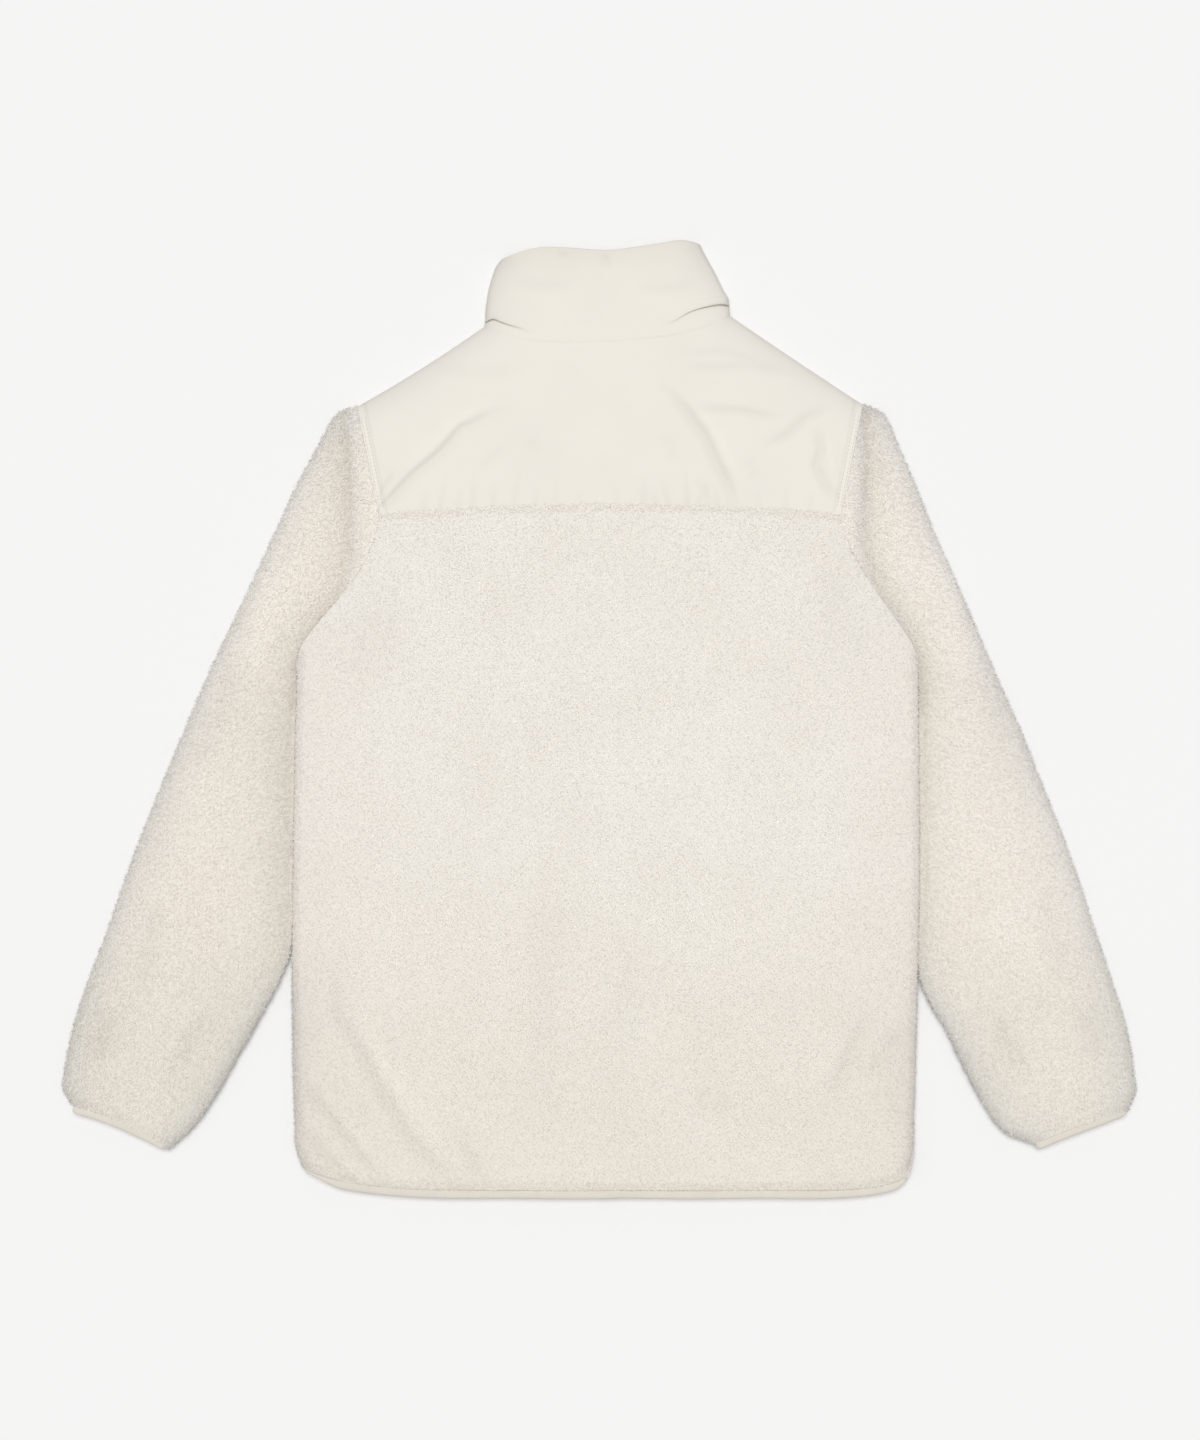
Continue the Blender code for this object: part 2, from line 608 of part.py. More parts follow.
def make_sleeve(name, is_left, material):
    lines, shares = sleeve_lines(is_left)
    edges = [np.array([line[0] for line in lines]), np.array([line[-1] for line in lines])]
    tops = [SLEEVE_TOP_AT_SEAM] + [SLEEVE_TOP] * (len(lines) - 2) + [SLEEVE_TOP_AT_CUFF]
    ends = [0.0] * len(FOLD_STEPS), [1.0] * len(FOLD_STEPS)
    places = np.concatenate([ends[0], shares, ends[1]])
    outer_rows, inner_rows = [], []
    for index, (line, top) in enumerate(zip(lines, tops)):
        over = np.full(places.shape, top - MIDDLE)
        if index == CREASE_BOTTOM_ROW:
            over -= np.interp(places, [c.share for c in ARMHOLE_CREASE], [c.depth for c in ARMHOLE_CREASE])
        outer, inner = ring_row(line, shares, over, MIDDLE, MIDDLE, EDGE, edges)
        on_top = smoothstep((outer[:, 2] - MIDDLE) / SLEEVE_FOLD_FADE)
        outer[:, 2] -= trough(SLEEVE_FOLDS, outer[:, :2]) * on_top
        outer_rows.append(outer)
        inner_rows.append(inner)
    cloth_wall(name, np.array(outer_rows), np.array(inner_rows), material, ring=True)


def make_cuff_binding(name, is_left, material):
    edge = cuff_line(is_left, np.linspace(0.0, 1.0, CUFF_POINTS))
    along = unit(edge[-1] - edge[0])
    down = np.array((along[1], -along[0])) if is_left else np.array((-along[1], along[0]))
    shares = np.linspace(0.0, 1.0, CUFF_POINTS)[1:-1]
    inside = np.linspace(BINDING_INSET, line_length(edge) - BINDING_INSET, CUFF_POINTS)
    outer_rows, inner_rows = [], []
    for width_share, crown_share in BINDING_ROWS:
        line = at_distance(edge, inside) + down * (SEAM + width_share * CUFF_BINDING_WIDTH)
        half = BINDING_HALF - BINDING_CROWN * crown_share
        outer, inner = ring_row(line, shares, half, half, MIDDLE, BINDING_EDGE)
        outer_rows.append(outer)
        inner_rows.append(inner)
    cloth_wall(name, np.array(outer_rows), np.array(inner_rows), material, ring=True)


# Collar and hem binding: strips that run from one zip edge round the back to the other zip edge

def strip_columns(left_x, right_x, radius, front_left, back, front_right):
    """x, inner x, distance in from the fold and layer of each column of such a strip.

    The last three are the x of its flat columns, in order along the strip.
    """
    turn = np.array(FOLD_STEPS[::-1]) * radius
    inner_turn = radius - HALF_GAP * (1.0 - turn / radius)
    folded = list(zip(turn, inner_turn))
    columns = [(x, x, radius, -1.0) for x in front_left]
    columns += [(left_x + t, left_x + i, t, -1.0) for t, i in folded[:0:-1]]
    columns += [(left_x + t, left_x + i, t, 1.0) for t, i in folded]
    columns += [(x, x, radius, 1.0) for x in back]
    columns += [(right_x - t, right_x - i, t, 1.0) for t, i in folded[::-1]]
    columns += [(right_x - t, right_x - i, t, -1.0) for t, i in folded[1:]]
    columns += [(x, x, radius, -1.0) for x in front_right]
    return np.array(columns).T


def collar_y(row, x, is_back, neck):
    """y of a collar row. neck is 1 on the seam and 0 at the top."""
    share = np.clip((x - row.left_x) / (row.right_x - row.left_x), 0.0, 1.0)
    straight = row.left_y + share * (row.right_y - row.left_y)
    power = neck * BACK_NECK_POWER + (1.0 - neck) * COLLAR_TOP_POWER
    back = bow(share, row.back_bow, power)
    front = bow(share, row.front_bow, FRONT_NECK_POWER)
    return straight + np.where(is_back, back, front)


def neck_seam_y(x, is_back):
    """y of the neckline as the body's own columns draw it."""
    knots = across(SHOULDER_LEFT[0], SHOULDER_RIGHT[0], NECK_LEFT[0], NECK_RIGHT[0])
    back = np.interp(x, knots, top_line(knots, False))
    front = np.interp(x, knots, top_line(knots, True))
    return np.where(is_back, back, front)


def make_collar(material):
    outer_rows, inner_rows = [], []
    for index, row in enumerate(COLLAR_ROWS):
        flat_left, flat_right = row.left_x + COLLAR_EDGE, row.right_x - COLLAR_EDGE
        x, inner_x, inside, layer = strip_columns(
            row.left_x, row.right_x, COLLAR_EDGE,
            np.linspace(ZIP_LEFT, flat_left, COLLAR_FRONT_STEPS + 1)[:-1],
            np.linspace(flat_left, flat_right, COLLAR_BACK_STEPS + 1)[1:-1],
            np.linspace(flat_right, ZIP_RIGHT, COLLAR_FRONT_STEPS + 1)[1:],
        )
        neck = 1.0 - index / (len(COLLAR_ROWS) - 1.0)
        is_back = layer > 0.0
        middle = MIDDLE + row.settle * (COLLAR_MIDDLE - MIDDLE)
        top = YOKE_TOP_AT_NECK + row.settle * (COLLAR_TOP - YOKE_TOP_AT_NECK)
        side = np.minimum((x - row.left_x) / BULGE_REACH_LEFT, (row.right_x - x) / BULGE_REACH_RIGHT)
        bulge = row.bulge * (1.0 - smoothstep(side))
        over = (top + bulge - middle) * roll(inside, COLLAR_EDGE)
        under = middle * roll(inside, COLLAR_EDGE)
        z = np.where(is_back, middle + over, middle - under)
        inner_z = middle + layer * HALF_GAP * roll(inside, COLLAR_EDGE)
        if index == 0:
            y = neck_seam_y(x, is_back) + SEAM
            inner_y = neck_seam_y(inner_x, is_back) + SEAM
        else:
            y = collar_y(row, x, is_back, neck)
            inner_y = collar_y(row, inner_x, is_back, neck)
        outer_rows.append(np.stack([x, y, z], axis=1))
        inner_rows.append(np.stack([inner_x, inner_y, inner_z], axis=1))
    cloth_wall("collar", np.array(outer_rows), np.array(inner_rows), material)


def make_hem_binding(material):
    hem = lower_plan()[0]
    left_x, right_x = hem[0, 0] + BINDING_INSET, hem[-1, 0] - BINDING_INSET
    flat = hem[:, 0]
    near = BINDING_EDGE + LEAST_STEP
    flat = flat[(flat > left_x + near) & (flat < right_x - near)]
    x, inner_x, inside, layer = strip_columns(
        left_x, right_x, BINDING_EDGE,
        np.append(ZIP_LEFT, flat[flat < ZIP_LEFT - LEAST_STEP][::-1]), flat,
        np.append(flat[flat > ZIP_RIGHT + LEAST_STEP][::-1], ZIP_RIGHT),
    )
    share = roll(inside, BINDING_EDGE)
    outer_rows, inner_rows = [], []
    for width_share, crown_share in BINDING_ROWS:
        down = SEAM + width_share * HEM_BINDING_WIDTH
        half = BINDING_HALF - BINDING_CROWN * crown_share
        y = np.interp(x, hem[:, 0], hem[:, 1]) - down
        inner_y = np.interp(inner_x, hem[:, 0], hem[:, 1]) - down
        outer_rows.append(np.stack([x, y, MIDDLE + layer * half * share], axis=1))
        inner_rows.append(np.stack([inner_x, inner_y, MIDDLE + layer * HALF_GAP * share], axis=1))
    cloth_wall("hem_binding", np.array(outer_rows), np.array(inner_rows), material)


# Zip

def make_zip(name, side, material):
    """Half of the zip: its tape, with the row of teeth as one bead along the edge."""
    bead_end = SLIDER_Y + ZIP_BEAD_RUN
    stations = (
        (ZIP_BOTTOM_Y, 1.0), (ZIP_DESCENT[0], 1.0), (ZIP_DESCENT[1], 1.0),
        (bead_end, 1.0), (bead_end + ZIP_BEAD_RUN, 0.0), (ZIP_TOP_Y, 0.0),
    )
    half_tape = ZIP_TAPE_THICK / 2.0
    points = []
    for y, bead in stations:
        z = ZIP_CENTRE_Z + ZIP_RISE * float(y <= ZIP_DESCENT[0])
        half = half_tape + bead * (ZIP_BEAD_THICK / 2.0 - half_tape)
        edge = ZIP_BARE_EDGE + bead * (SEAM / 2.0 - ZIP_BARE_EDGE)
        shoulder = ZIP_BEAD_HALF - ZIP_BEAD_SLOPE
        profile = (
            (ZIP_TAPE_HALF, -half_tape), (ZIP_BEAD_HALF, -half_tape), (shoulder, -half), (edge, -half),
            (edge, half), (shoulder, half), (ZIP_BEAD_HALF, half_tape), (ZIP_TAPE_HALF, half_tape),
        )
        points += [(CENTRE_X + side * x, y, z + up) for x, up in profile]
    count = len(profile)
    faces = []
    for r in range(len(stations) - 1):
        for c in range(count):
            a, b = r * count + c, r * count + (c + 1) % count
            faces.append((a, b, b + count, a + count))
    last = (len(stations) - 1) * count
    faces.append(tuple(range(count))[::-1])
    faces.append(tuple(last + c for c in range(count)))
    new_object(name, np.array(points), faces, material)


def box_mesh(name, low, high, material):
    corners = np.array([
        (x, y, z) for z in (low[2], high[2]) for x, y in
        ((low[0], low[1]), (high[0], low[1]), (high[0], high[1]), (low[0], high[1]))
    ])
    faces = [(3, 2, 1, 0), (4, 5, 6, 7), (0, 1, 5, 4), (1, 2, 6, 5), (2, 3, 7, 6), (3, 0, 4, 7)]
    return new_object(name, corners, faces, material)


def join_to(base, other):
    """Adds another solid to the base one. The other stays as a hidden guide."""
    other.hide_render = True
    other.display_type = "WIRE"
    union = base.modifiers.new("join_" + other.name, "BOOLEAN")
    union.operation = "UNION"
    union.solver = "EXACT"
    union.object = other


def slider_heights():
    """Heights of the slider: top of its lower plate, its underside, and the pivot of the pull tab."""
    plate_top = ZIP_CENTRE_Z - ZIP_BEAD_THICK / 2.0 - SLIDER_PLAY
    underside = plate_top - SLIDER_PLATE
    pivot = underside - SLIDER_PLAY - TAB_THICK / 2.0
    return plate_top, underside, pivot


def make_slider(material):
    plate_top, underside, pivot = slider_heights()
    half_length = SLIDER_LENGTH / 2.0
    upper = ZIP_CENTRE_Z + ZIP_BEAD_THICK / 2.0 + SLIDER_PLAY
    bar_top = pivot - TAB_THICK / 2.0 - SLIDER_PLAY
    base = box_mesh(
        "zip_slider",
        (CENTRE_X - SLIDER_HALF_WIDTH, SLIDER_Y - half_length, underside),
        (CENTRE_X + SLIDER_HALF_WIDTH, SLIDER_Y + half_length, plate_top), material,
    )
    parts = [(
        "slider_upper_plate",
        (CENTRE_X - SLIDER_HALF_WIDTH, SLIDER_Y - half_length, upper),
        (CENTRE_X + SLIDER_HALF_WIDTH, SLIDER_Y + half_length, upper + SLIDER_PLATE),
    ), (
        "slider_post",
        (CENTRE_X - POST_HALF_WIDTH, SLIDER_Y + half_length - POST_LENGTH, plate_top - SLIDER_OVERLAP),
        (CENTRE_X + POST_HALF_WIDTH, SLIDER_Y + half_length - SLIDER_OVERLAP, upper + SLIDER_OVERLAP),
    ), (
        "slider_bar",
        (CENTRE_X - BRIDGE_HALF_WIDTH, SLIDER_Y - BRIDGE_HALF_LENGTH, bar_top - BRIDGE_BAR),
        (CENTRE_X + BRIDGE_HALF_WIDTH, SLIDER_Y + BRIDGE_HALF_LENGTH, bar_top),
    )]
    for name, sign in (("slider_leg_low", -1.0), ("slider_leg_high", 1.0)):
        near = SLIDER_Y + sign * (BRIDGE_HALF_LENGTH - BRIDGE_LEG)
        far = SLIDER_Y + sign * (BRIDGE_HALF_LENGTH - BRIDGE_LEG_INSET)
        half_leg = BRIDGE_HALF_WIDTH - BRIDGE_LEG_INSET
        parts.append((
            name,
            (CENTRE_X - half_leg, min(near, far), bar_top - SLIDER_OVERLAP),
            (CENTRE_X + half_leg, max(near, far), underside + SLIDER_OVERLAP),
        ))
    for name, low, high in parts:
        join_to(base, box_mesh(name, low, high, material))


def make_pull_tab(material):
    """A flat tab with a window. Its origin is on the axis that it turns on."""
    pivot = slider_heights()[2]
    half = TAB_THICK / 2.0
    outline = (
        (-TAB_NECK_END_HALF, TAB_BAR_HALF), (TAB_NECK_END_HALF, TAB_BAR_HALF),
        (TAB_HALF_WIDTH, -TAB_WINDOW_LENGTH - TAB_SHOULDER), (TAB_HALF_WIDTH, -TAB_LENGTH + TAB_SHOULDER),
        (TAB_HALF_WIDTH - TAB_CORNER, -TAB_LENGTH), (-TAB_HALF_WIDTH + TAB_CORNER, -TAB_LENGTH),
        (-TAB_HALF_WIDTH, -TAB_LENGTH + TAB_SHOULDER), (-TAB_HALF_WIDTH, -TAB_WINDOW_LENGTH - TAB_SHOULDER),
    )
    count = len(outline)
    points = np.array([(x, y, z) for z in (-half, half) for x, y in outline])
    faces = [tuple(range(count)), tuple(range(count, 2 * count))[::-1]]
    faces += [(c, c + count, (c + 1) % count + count, (c + 1) % count) for c in range(count)]
    tab = new_object("pull_tab", points, faces, material)
    tab.location = (CENTRE_X * MM, SLIDER_Y * MM, pivot * MM)
    window = box_mesh(
        "tab_window",
        (CENTRE_X - TAB_WINDOW_HALF, SLIDER_Y - TAB_BAR_HALF - TAB_WINDOW_LENGTH, pivot - CUT_MARGIN),
        (CENTRE_X + TAB_WINDOW_HALF, SLIDER_Y - TAB_BAR_HALF, pivot + CUT_MARGIN), material,
    )
    window.hide_render = True
    window.display_type = "WIRE"
    cut = tab.modifiers.new("window", "BOOLEAN")
    cut.operation = "DIFFERENCE"
    cut.solver = "EXACT"
    cut.object = window


def clear_scene():
    for obj in list(bpy.data.objects):
        bpy.data.objects.remove(obj)


def centre_footprint():
    """Moves everything so that the origin is the middle of the footprint."""
    bpy.context.view_layer.update()
    shown = [obj for obj in bpy.data.objects if not obj.hide_render]
    corners = np.array([obj.matrix_world @ v.co for obj in shown for v in obj.data.vertices])
    middle = (corners.min(axis=0) + corners.max(axis=0)) / 2.0
    for obj in bpy.data.objects:
        obj.location.x -= middle[0]
        obj.location.y -= middle[1]


def make_material(name):
    red, green, blue, roughness, metallic = MATERIALS[name]
    made = bpy.data.materials.new(name)
    made.use_nodes = True
    shader = made.node_tree.nodes["Principled BSDF"]
    shader.inputs["Base Color"].default_value = (red, green, blue, 1.0)
    shader.inputs["Roughness"].default_value = roughness
    shader.inputs["Metallic"].default_value = metallic
    return made


def main():
    clear_scene()
    cloth = {name: make_material(name) for name in MATERIALS}
    make_back(cloth["fleece"])
    make_yoke(cloth["woven"])
    make_fronts(cloth["fleece"])
    make_sleeve("sleeve_left", True, cloth["fleece"])
    make_sleeve("sleeve_right", False, cloth["fleece"])
    make_collar(cloth["woven"])
    make_hem_binding(cloth["binding"])
    make_cuff_binding("cuff_binding_left", True, cloth["binding"])
    make_cuff_binding("cuff_binding_right", False, cloth["binding"])
    make_zip("zip_left", -1.0, cloth["zip_tape"])
    make_zip("zip_right", 1.0, cloth["zip_tape"])
    make_slider(cloth["zip_metal"])
    make_pull_tab(cloth["zip_metal"])
    centre_footprint()


main()
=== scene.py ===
"""Looks of the reversible fleece jacket: cloth, pile, bindings, zip and stitches, a floor, light and a camera.

The sizes are in millimetres in the plan of the cut, X across, Y from hem to collar, Z up, and the mesh code
turns them into metres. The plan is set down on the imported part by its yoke, in plan_origin.
Where a name holds one value for each side, the right one comes first, and [is_left] picks it.
"""

import math
from collections import namedtuple

import bpy
import numpy as np
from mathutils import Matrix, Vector


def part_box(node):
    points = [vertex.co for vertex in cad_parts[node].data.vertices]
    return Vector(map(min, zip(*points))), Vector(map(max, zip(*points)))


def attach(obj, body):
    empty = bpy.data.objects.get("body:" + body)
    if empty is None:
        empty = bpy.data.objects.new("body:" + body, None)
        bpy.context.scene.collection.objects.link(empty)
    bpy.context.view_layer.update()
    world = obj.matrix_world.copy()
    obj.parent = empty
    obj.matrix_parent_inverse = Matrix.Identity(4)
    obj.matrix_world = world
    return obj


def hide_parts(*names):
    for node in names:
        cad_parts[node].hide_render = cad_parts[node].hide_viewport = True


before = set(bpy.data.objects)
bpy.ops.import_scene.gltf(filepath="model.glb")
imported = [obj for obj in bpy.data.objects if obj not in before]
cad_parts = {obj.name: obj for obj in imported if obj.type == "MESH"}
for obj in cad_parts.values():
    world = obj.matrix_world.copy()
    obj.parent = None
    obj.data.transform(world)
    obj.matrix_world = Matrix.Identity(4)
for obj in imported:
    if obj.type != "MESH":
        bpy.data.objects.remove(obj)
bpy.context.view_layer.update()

MM = 0.001
BODY = "jacket"

# Heights of the layers, as in the solids. The shells lie this far below, and the pile fills the rest
MIDDLE = 6.3
HALF_GAP = 1.8
EDGE = 6.3
FLEECE_TOP = 13
YOKE_TOP_AT_SEAM = 11.6
YOKE_TOP_AT_NECK = 10.6
SLEEVE_TOP = 12.6
PILE = 1.7
UNDER_PILE = 1.3
FOLD_STEPS = (1, 0.72, 0.48, 0.28, 0.13, 0.04, 0)
EDGE_FULLNESS = 2.4  # 2 is a round edge, more is fuller
SOFT_EDGE = 13  # the upper layer rounds off over this width
FOLD_SCALE = 2
CENTRE_X = 6


def table(kind, *rows):
    return tuple(kind(*row) for row in rows)


# The cut, as in the solids: the sides from the hem to the underarm, then the armhole up to the yoke
Side = namedtuple("Side", "y left right")
BODY_SIDES = table(
    Side,
    (-381, -253, 263), (-366, -258.5, 266.5), (-345, -259.6, 267), (-310, -261, 268.2), (-270, -261.5, 269.2),
    (-230, -262, 270.2), (-190, -262, 271.2), (-145, -261.5, 272), (-100, -261, 272), (-55, -260, 271.8),
    (-15, -259.5, 271.5), (18, -258.5, 271.2), (36, -258, 270.9), (54, -257.6, 270.3),
)
ARMHOLE = table(
    Side,
    (65, -253, 265.6), (83, -239.7, 253.3), (105, -221, 238), (129, -204, 222.7), (153, -192.5, 210.8),
    (176, -188, 205),
)
SHOULDER_LEFT = (-206.6, 267.3)
SHOULDER_RIGHT = (223.6, 269)
NECK_LEFT = (-98.6, 335.3)
NECK_RIGHT = (110.5, 344.7)
SHOULDER_SAG_LEFT = 2
SHOULDER_SAG_RIGHT = 0.5
BACK_NECK_DEPTH = 17.5
BACK_NECK_POWER = 3.2
FRONT_NECK_DEPTH = 82
FRONT_NECK_POWER = 2.4
YOKE_SEAM_RISE = 8.5
YOKE_BAND_WIDTH = 5.8
YOKE_BAND_HEIGHT = 0.6
BAND_SLOPE = 1.2
BAND_FOOT_WIDTH = 1.3
# Painted highlight on the raised band, and painted shade at its foot
BAND_PAINTED_HIGHLIGHT = 0.03
BAND_FOOT_PAINTED_SHADE = 0.07
HEM_DIP = 18.6
HEM_RISE_LEFT = 18.6
HEM_RISE_RIGHT = 12.6
HEM_POWER_LEFT = 6
HEM_POWER_RIGHT = 12
HEM_FADE = 80  # the rows above the hem straighten over this height
NECK_SHARE = 0.5  # this share of a row's columns lies inside the neck points
NECK_ABOVE = 40

SLEEVE_OUTER = table(
    Side,
    (-319, -455.6, 455.6), (-306.4, -456.5, 454.8), (-272.4, -450.5, 450.5), (-238.4, -442, 441.2),
    (-204.4, -428.4, 429.3), (-153.4, -410.6, 413.1), (-102.4, -391.9, 395.3), (-51.4, -371.5, 374.9),
    (0, -350, 354.3), (50.6, -328.1, 331.5), (101.6, -303.5, 310.3), (152.6, -279.7, 287.3),
    (203.6, -255.9, 266.9), (237.6, -237.2, 251.6), (254.6, -226.4, 243),
)
SLEEVE_INNER = table(
    Side,
    (-353, -352.8, 347.5), (-340, -340.9, 336.6), (-323, -329.8, 324.7), (-306, -320.5, 316.2),
    (-289, -310.3, 306.9), (-272, -300.9, 299.2), (-255, -290.7, 289.9), (-238, -281.4, 279.7),
    (-221, -272.9, 273), (-204, -266.1, 271), (-190, -262.5, 271.5), (54, -255, 265),
)
CREASE_GAP = 0.4
SleeveRing = namedtuple("SleeveRing", "outer_y inner_y curve lean", defaults=(0, 0))
SLEEVE_RINGS = table(
    SleeveRing,
    (254.6, 38, 0.5, 20), (232, 24, 0.3, 18), (200, 8, 0.12, 15), (160, -14, 0, 10), (118, -38, 0, 5), (75, -64),
    (32, -92), (-12, -120), (-56, -147), (-100, -172), (-142, -196), (-184, -218), (-222, -240), (-256, -265),
    (-284, -293), (-304, -324), (-318, -352),
)
LEAN_SCALE = 6.75  # makes the most of share^2 (1 - share) into 1
CUFF = (((448.8, -330), (368.5, -360.5)), ((-449, -327.7), (-367.5, -362)))
CUFF_BOW = (1, 4)  # the cuff's edge curves up this far in its middle
CUFF_POINTS = 9
CUFF_COLUMNS = 24
CUFF_HANG = 3.2  # the fleece hangs over the binding at one end of a cuff
CUFF_HANG_REACH = 0.22

# Where the sleeve folds over itself beside the armhole, down to where it goes under the body's side
LEFT_CREASE = (
    (-214.2, 250), (-214.2, 241), (-211.7, 190), (-212.5, 139.8), (-221, 105),
    (-234.6, 88.8), (-247.4, 70.1), (-258.5, 45.5), (-261, 10),
)
RIGHT_CREASE = (
    (224, 262), (223.6, 255), (225.3, 216.3), (225.3, 144.1), (237.2, 109.2),
    (249.9, 93.1), (264, 70), (272, 45), (273, 10),
)
CREASE_DEPTH = 3.2
CREASE_NEAR = 3.6  # width of the steep flank, on the armhole's side
CREASE_FAR = 15
SIDE_SLOPE = 30  # the sleeve falls towards the body's side over this width
SIDE_DROP = (2.6, 3.4)

# Folds: a line through some points, its width on either side and its depth. A negative depth is a ridge
Fold = namedtuple("Fold", "line left right depth")
BODY_FOLDS = table(
    Fold,
    (((-228, -190), (-224, -225), (-221, -255), (-202, -287), (-187, -315), (-162, -357), (-145, -375), (-123, -396),
          (-104, -412)), 4.5, 4, 1.35),
    (((-214, -240), (-194, -272), (-177, -302), (-155, -340), (-134, -366), (-108, -392)), 7, 7, -0.5),
    (((-268, -288), (-249, -312), (-230, -338), (-211, -363), (-191, -387), (-172, -408)), 4, 3.6, 1.2),
    (((-242, -312), (-222, -338), (-200, -364), (-180, -386)), 6, 6, -0.4),
    (((-258, -345), (-244, -360), (-228, -377), (-213, -392), (-200, -406)), 4, 3.6, 1.1),
    (((-120, -350), (-113, -367), (-103, -385), (-96, -402)), 4.5, 4, 0.9),
    (((-126, -287), (-116, -296), (-108, -306)), 7, 6, 0.4),
    (((-50, -120), (-44, -190), (-52, -260), (-46, -385)), 16, 12, 0.4),
    (((14, -160), (24, -215), (12, -300), (19, -388)), 14, 16, 0.3),
    (((235, -240), (218, -272), (206, -300), (190, -332)), 8, 6, 0.9),
    (((258, -262), (238, -290), (226, -310)), 7, 6, 0.8),
    (((262, -215), (256, -290), (248, -360)), 10, 10, 0.5),
    (((76, -324), (120, -331)), 11, 11, 0.5),
    (((-185, 150), (-190, 90), (-215, 20)), 22, 16, 0.4),
    (((203, 150), (208, 85), (228, 20)), 16, 22, 0.4),
)
YOKE_FOLDS = table(
    Fold,
    (((-70, 270), (-93, 261), (-119, 249), (-136, 229), (-159, 210), (-184, 184), (-225, 142)), 6, 2.2, 1.1),
    (((-80, 278), (-104, 264), (-126, 248), (-146, 230), (-170, 206)), 7, 7, -0.4),
    (((-174, 213), (-179, 204), (-184, 195), (-190, 180)), 2.2, 2.2, 0.7),
    (((-78, 232), (-92, 222), (-104, 208)), 4, 5, 0.35),
    (((-62, 240), (-55, 230), (-58, 222)), 4, 4, 0.3),
    (((45, 292), (61, 278), (76, 261), (91, 240), (98, 223), (106, 208), (112, 195), (114, 186),
      (113, 160)), 2.6, 5, 1.2),
    (((72, 278), (87, 262), (101, 240), (110, 222), (119, 206), (124, 188)), 5, 5, -0.4),
    (((72, 265), (95, 263), (119, 262), (138, 258), (161, 256)), 4, 2.8, 0.8),
    (((200, 268), (191, 263), (174, 255), (161, 242), (146, 234), (134, 230)), 3.2, 5, 0.8),
    (((181, 258), (184, 247), (187, 229), (183, 216), (191, 198), (197, 192), (212, 178)), 4.4, 2.4, 0.9),
    (((194, 240), (196, 222), (199, 205)), 4, 4, -0.4),
    (((62, 312), (74, 311), (106, 311), (129, 306), (140, 300)), 4, 3, 0.4),
    (((60, 302), (74, 300), (98, 298), (129, 300), (161, 293), (176, 285)), 5, 4, 0.5),
    (((52, 245), (60, 232), (64, 216)), 4, 3, 0.35),
    (((80, 205), (88, 196), (92, 186)), 2.6, 2.6, 0.5),
    (((124, 226), (130, 214), (132, 200)), 3, 3, 0.35),
    (((-150, 298), (-100, 292), (-60, 296)), 7, 5, 0.3),
)
# Short gathers that rise from the yoke's seam: x on the seam, x at the top, height, depth
Gather = namedtuple("Gather", "x top_x height depth")
YOKE_GATHERS = table(
    Gather,
    (-150, -147, 20, 0.5), (-136, -130, 30, 0.6), (-121, -117, 22, 0.5), (-108, -106, 34, 0.6),
    (-90, -91, 24, 0.5), (-72, -69, 38, 0.6), (-55, -56, 22, 0.4), (-38, -36, 30, 0.5), (-16, -18, 18, 0.3),
    (14, 12, 20, 0.3), (38, 36, 30, 0.6), (47, 45, 18, 0.5), (58, 54, 26, 0.7), (75, 72, 34, 0.8),
    (84, 86, 16, 0.7), (91, 89, 30, 0.7), (100, 99, 18, 0.7), (136, 134, 22, 0.4), (158, 160, 26, 0.4),
    (178, 182, 20, 0.4),
)
GATHER_WIDTH = 2.8
SLEEVE_FOLDS = table(
    Fold,
    (((-300, 60), (-322, 5), (-345, -60)), 12, 9, 0.45),
    (((-372, -150), (-384, -200), (-395, -250)), 10, 7, 0.7),
    (((-330, -240), (-352, -280), (-370, -310)), 9, 7, 0.8),
    (((-416, -240), (-428, -300)), 10, 8, 0.9),
    (((-262, 150), (-285, 90), (-300, 20)), 14, 18, -0.6),
    (((318, 70), (336, 15), (352, -40)), 9, 12, 0.5),
    (((372, -130), (386, -182), (398, -235)), 7, 10, 0.6),
    (((335, -250), (352, -280), (368, -305)), 7, 9, 0.8),
    (((412, -235), (424, -300)), 8, 10, 0.9),
    (((280, 150), (300, 90), (312, 20)), 18, 14, -0.6),
)

# The stand collar, from its seam to its top. A bow is how far the middle of a row lies off its two ends
CollarRow = namedtuple(
    "CollarRow", "left_x left_y right_x right_y back_bow front_bow settle bulge tuck", defaults=(0, 0)
)
COLLAR_ROWS = table(
    CollarRow,
    (-98.6, 335.3, 110.5, 344.7, -17.5, -82, 0),
    (-98.3, 338.2, 110.3, 347.2, -15.2, -80.5, 0.5, -1.1),
    (-98.1, 341, 110.1, 349.8, -13, -79.1, 0.8, -1.5),
    (-98, 343.2, 110, 351.7, -11.4, -78, 1, -0.6, 0.6),
    (-98, 344, 110, 352.2, -10.7, -77.5, 1, 1.6, 1),
    (-97.8, 346, 109.8, 353.6, -9.6, -76.3, 1, 2.2, 0.4),
    (-97.6, 349.5, 109.4, 356.2, -7.8, -74.4, 1, 1.9),
    (-96.8, 356, 107.8, 361, -5.2, -71.5, 1, 0.8),
    (-95, 367, 103.6, 370, -1.5, -66.5, 1),
    (-92, 377.5, 97.5, 382, 2.5, -62, 1),
    (-88.5, 387, 90, 395, 4.5, -58.5, 1),
    (-84.5, 391.5, 85.5, 404, 5, -57, 1, -0.7),
)
COLLAR_STEPS = 5  # rows of the mesh between two rows of the table
COLLAR_FRONT_COLUMNS = 25
COLLAR_BACK_COLUMNS = 81
COLLAR_MIDDLE = 5.2
COLLAR_TOP = 10.2
COLLAR_EDGE = 5.2
COLLAR_TOP_POWER = 4
BULGE_REACH_LEFT = 42
BULGE_REACH_RIGHT = 62
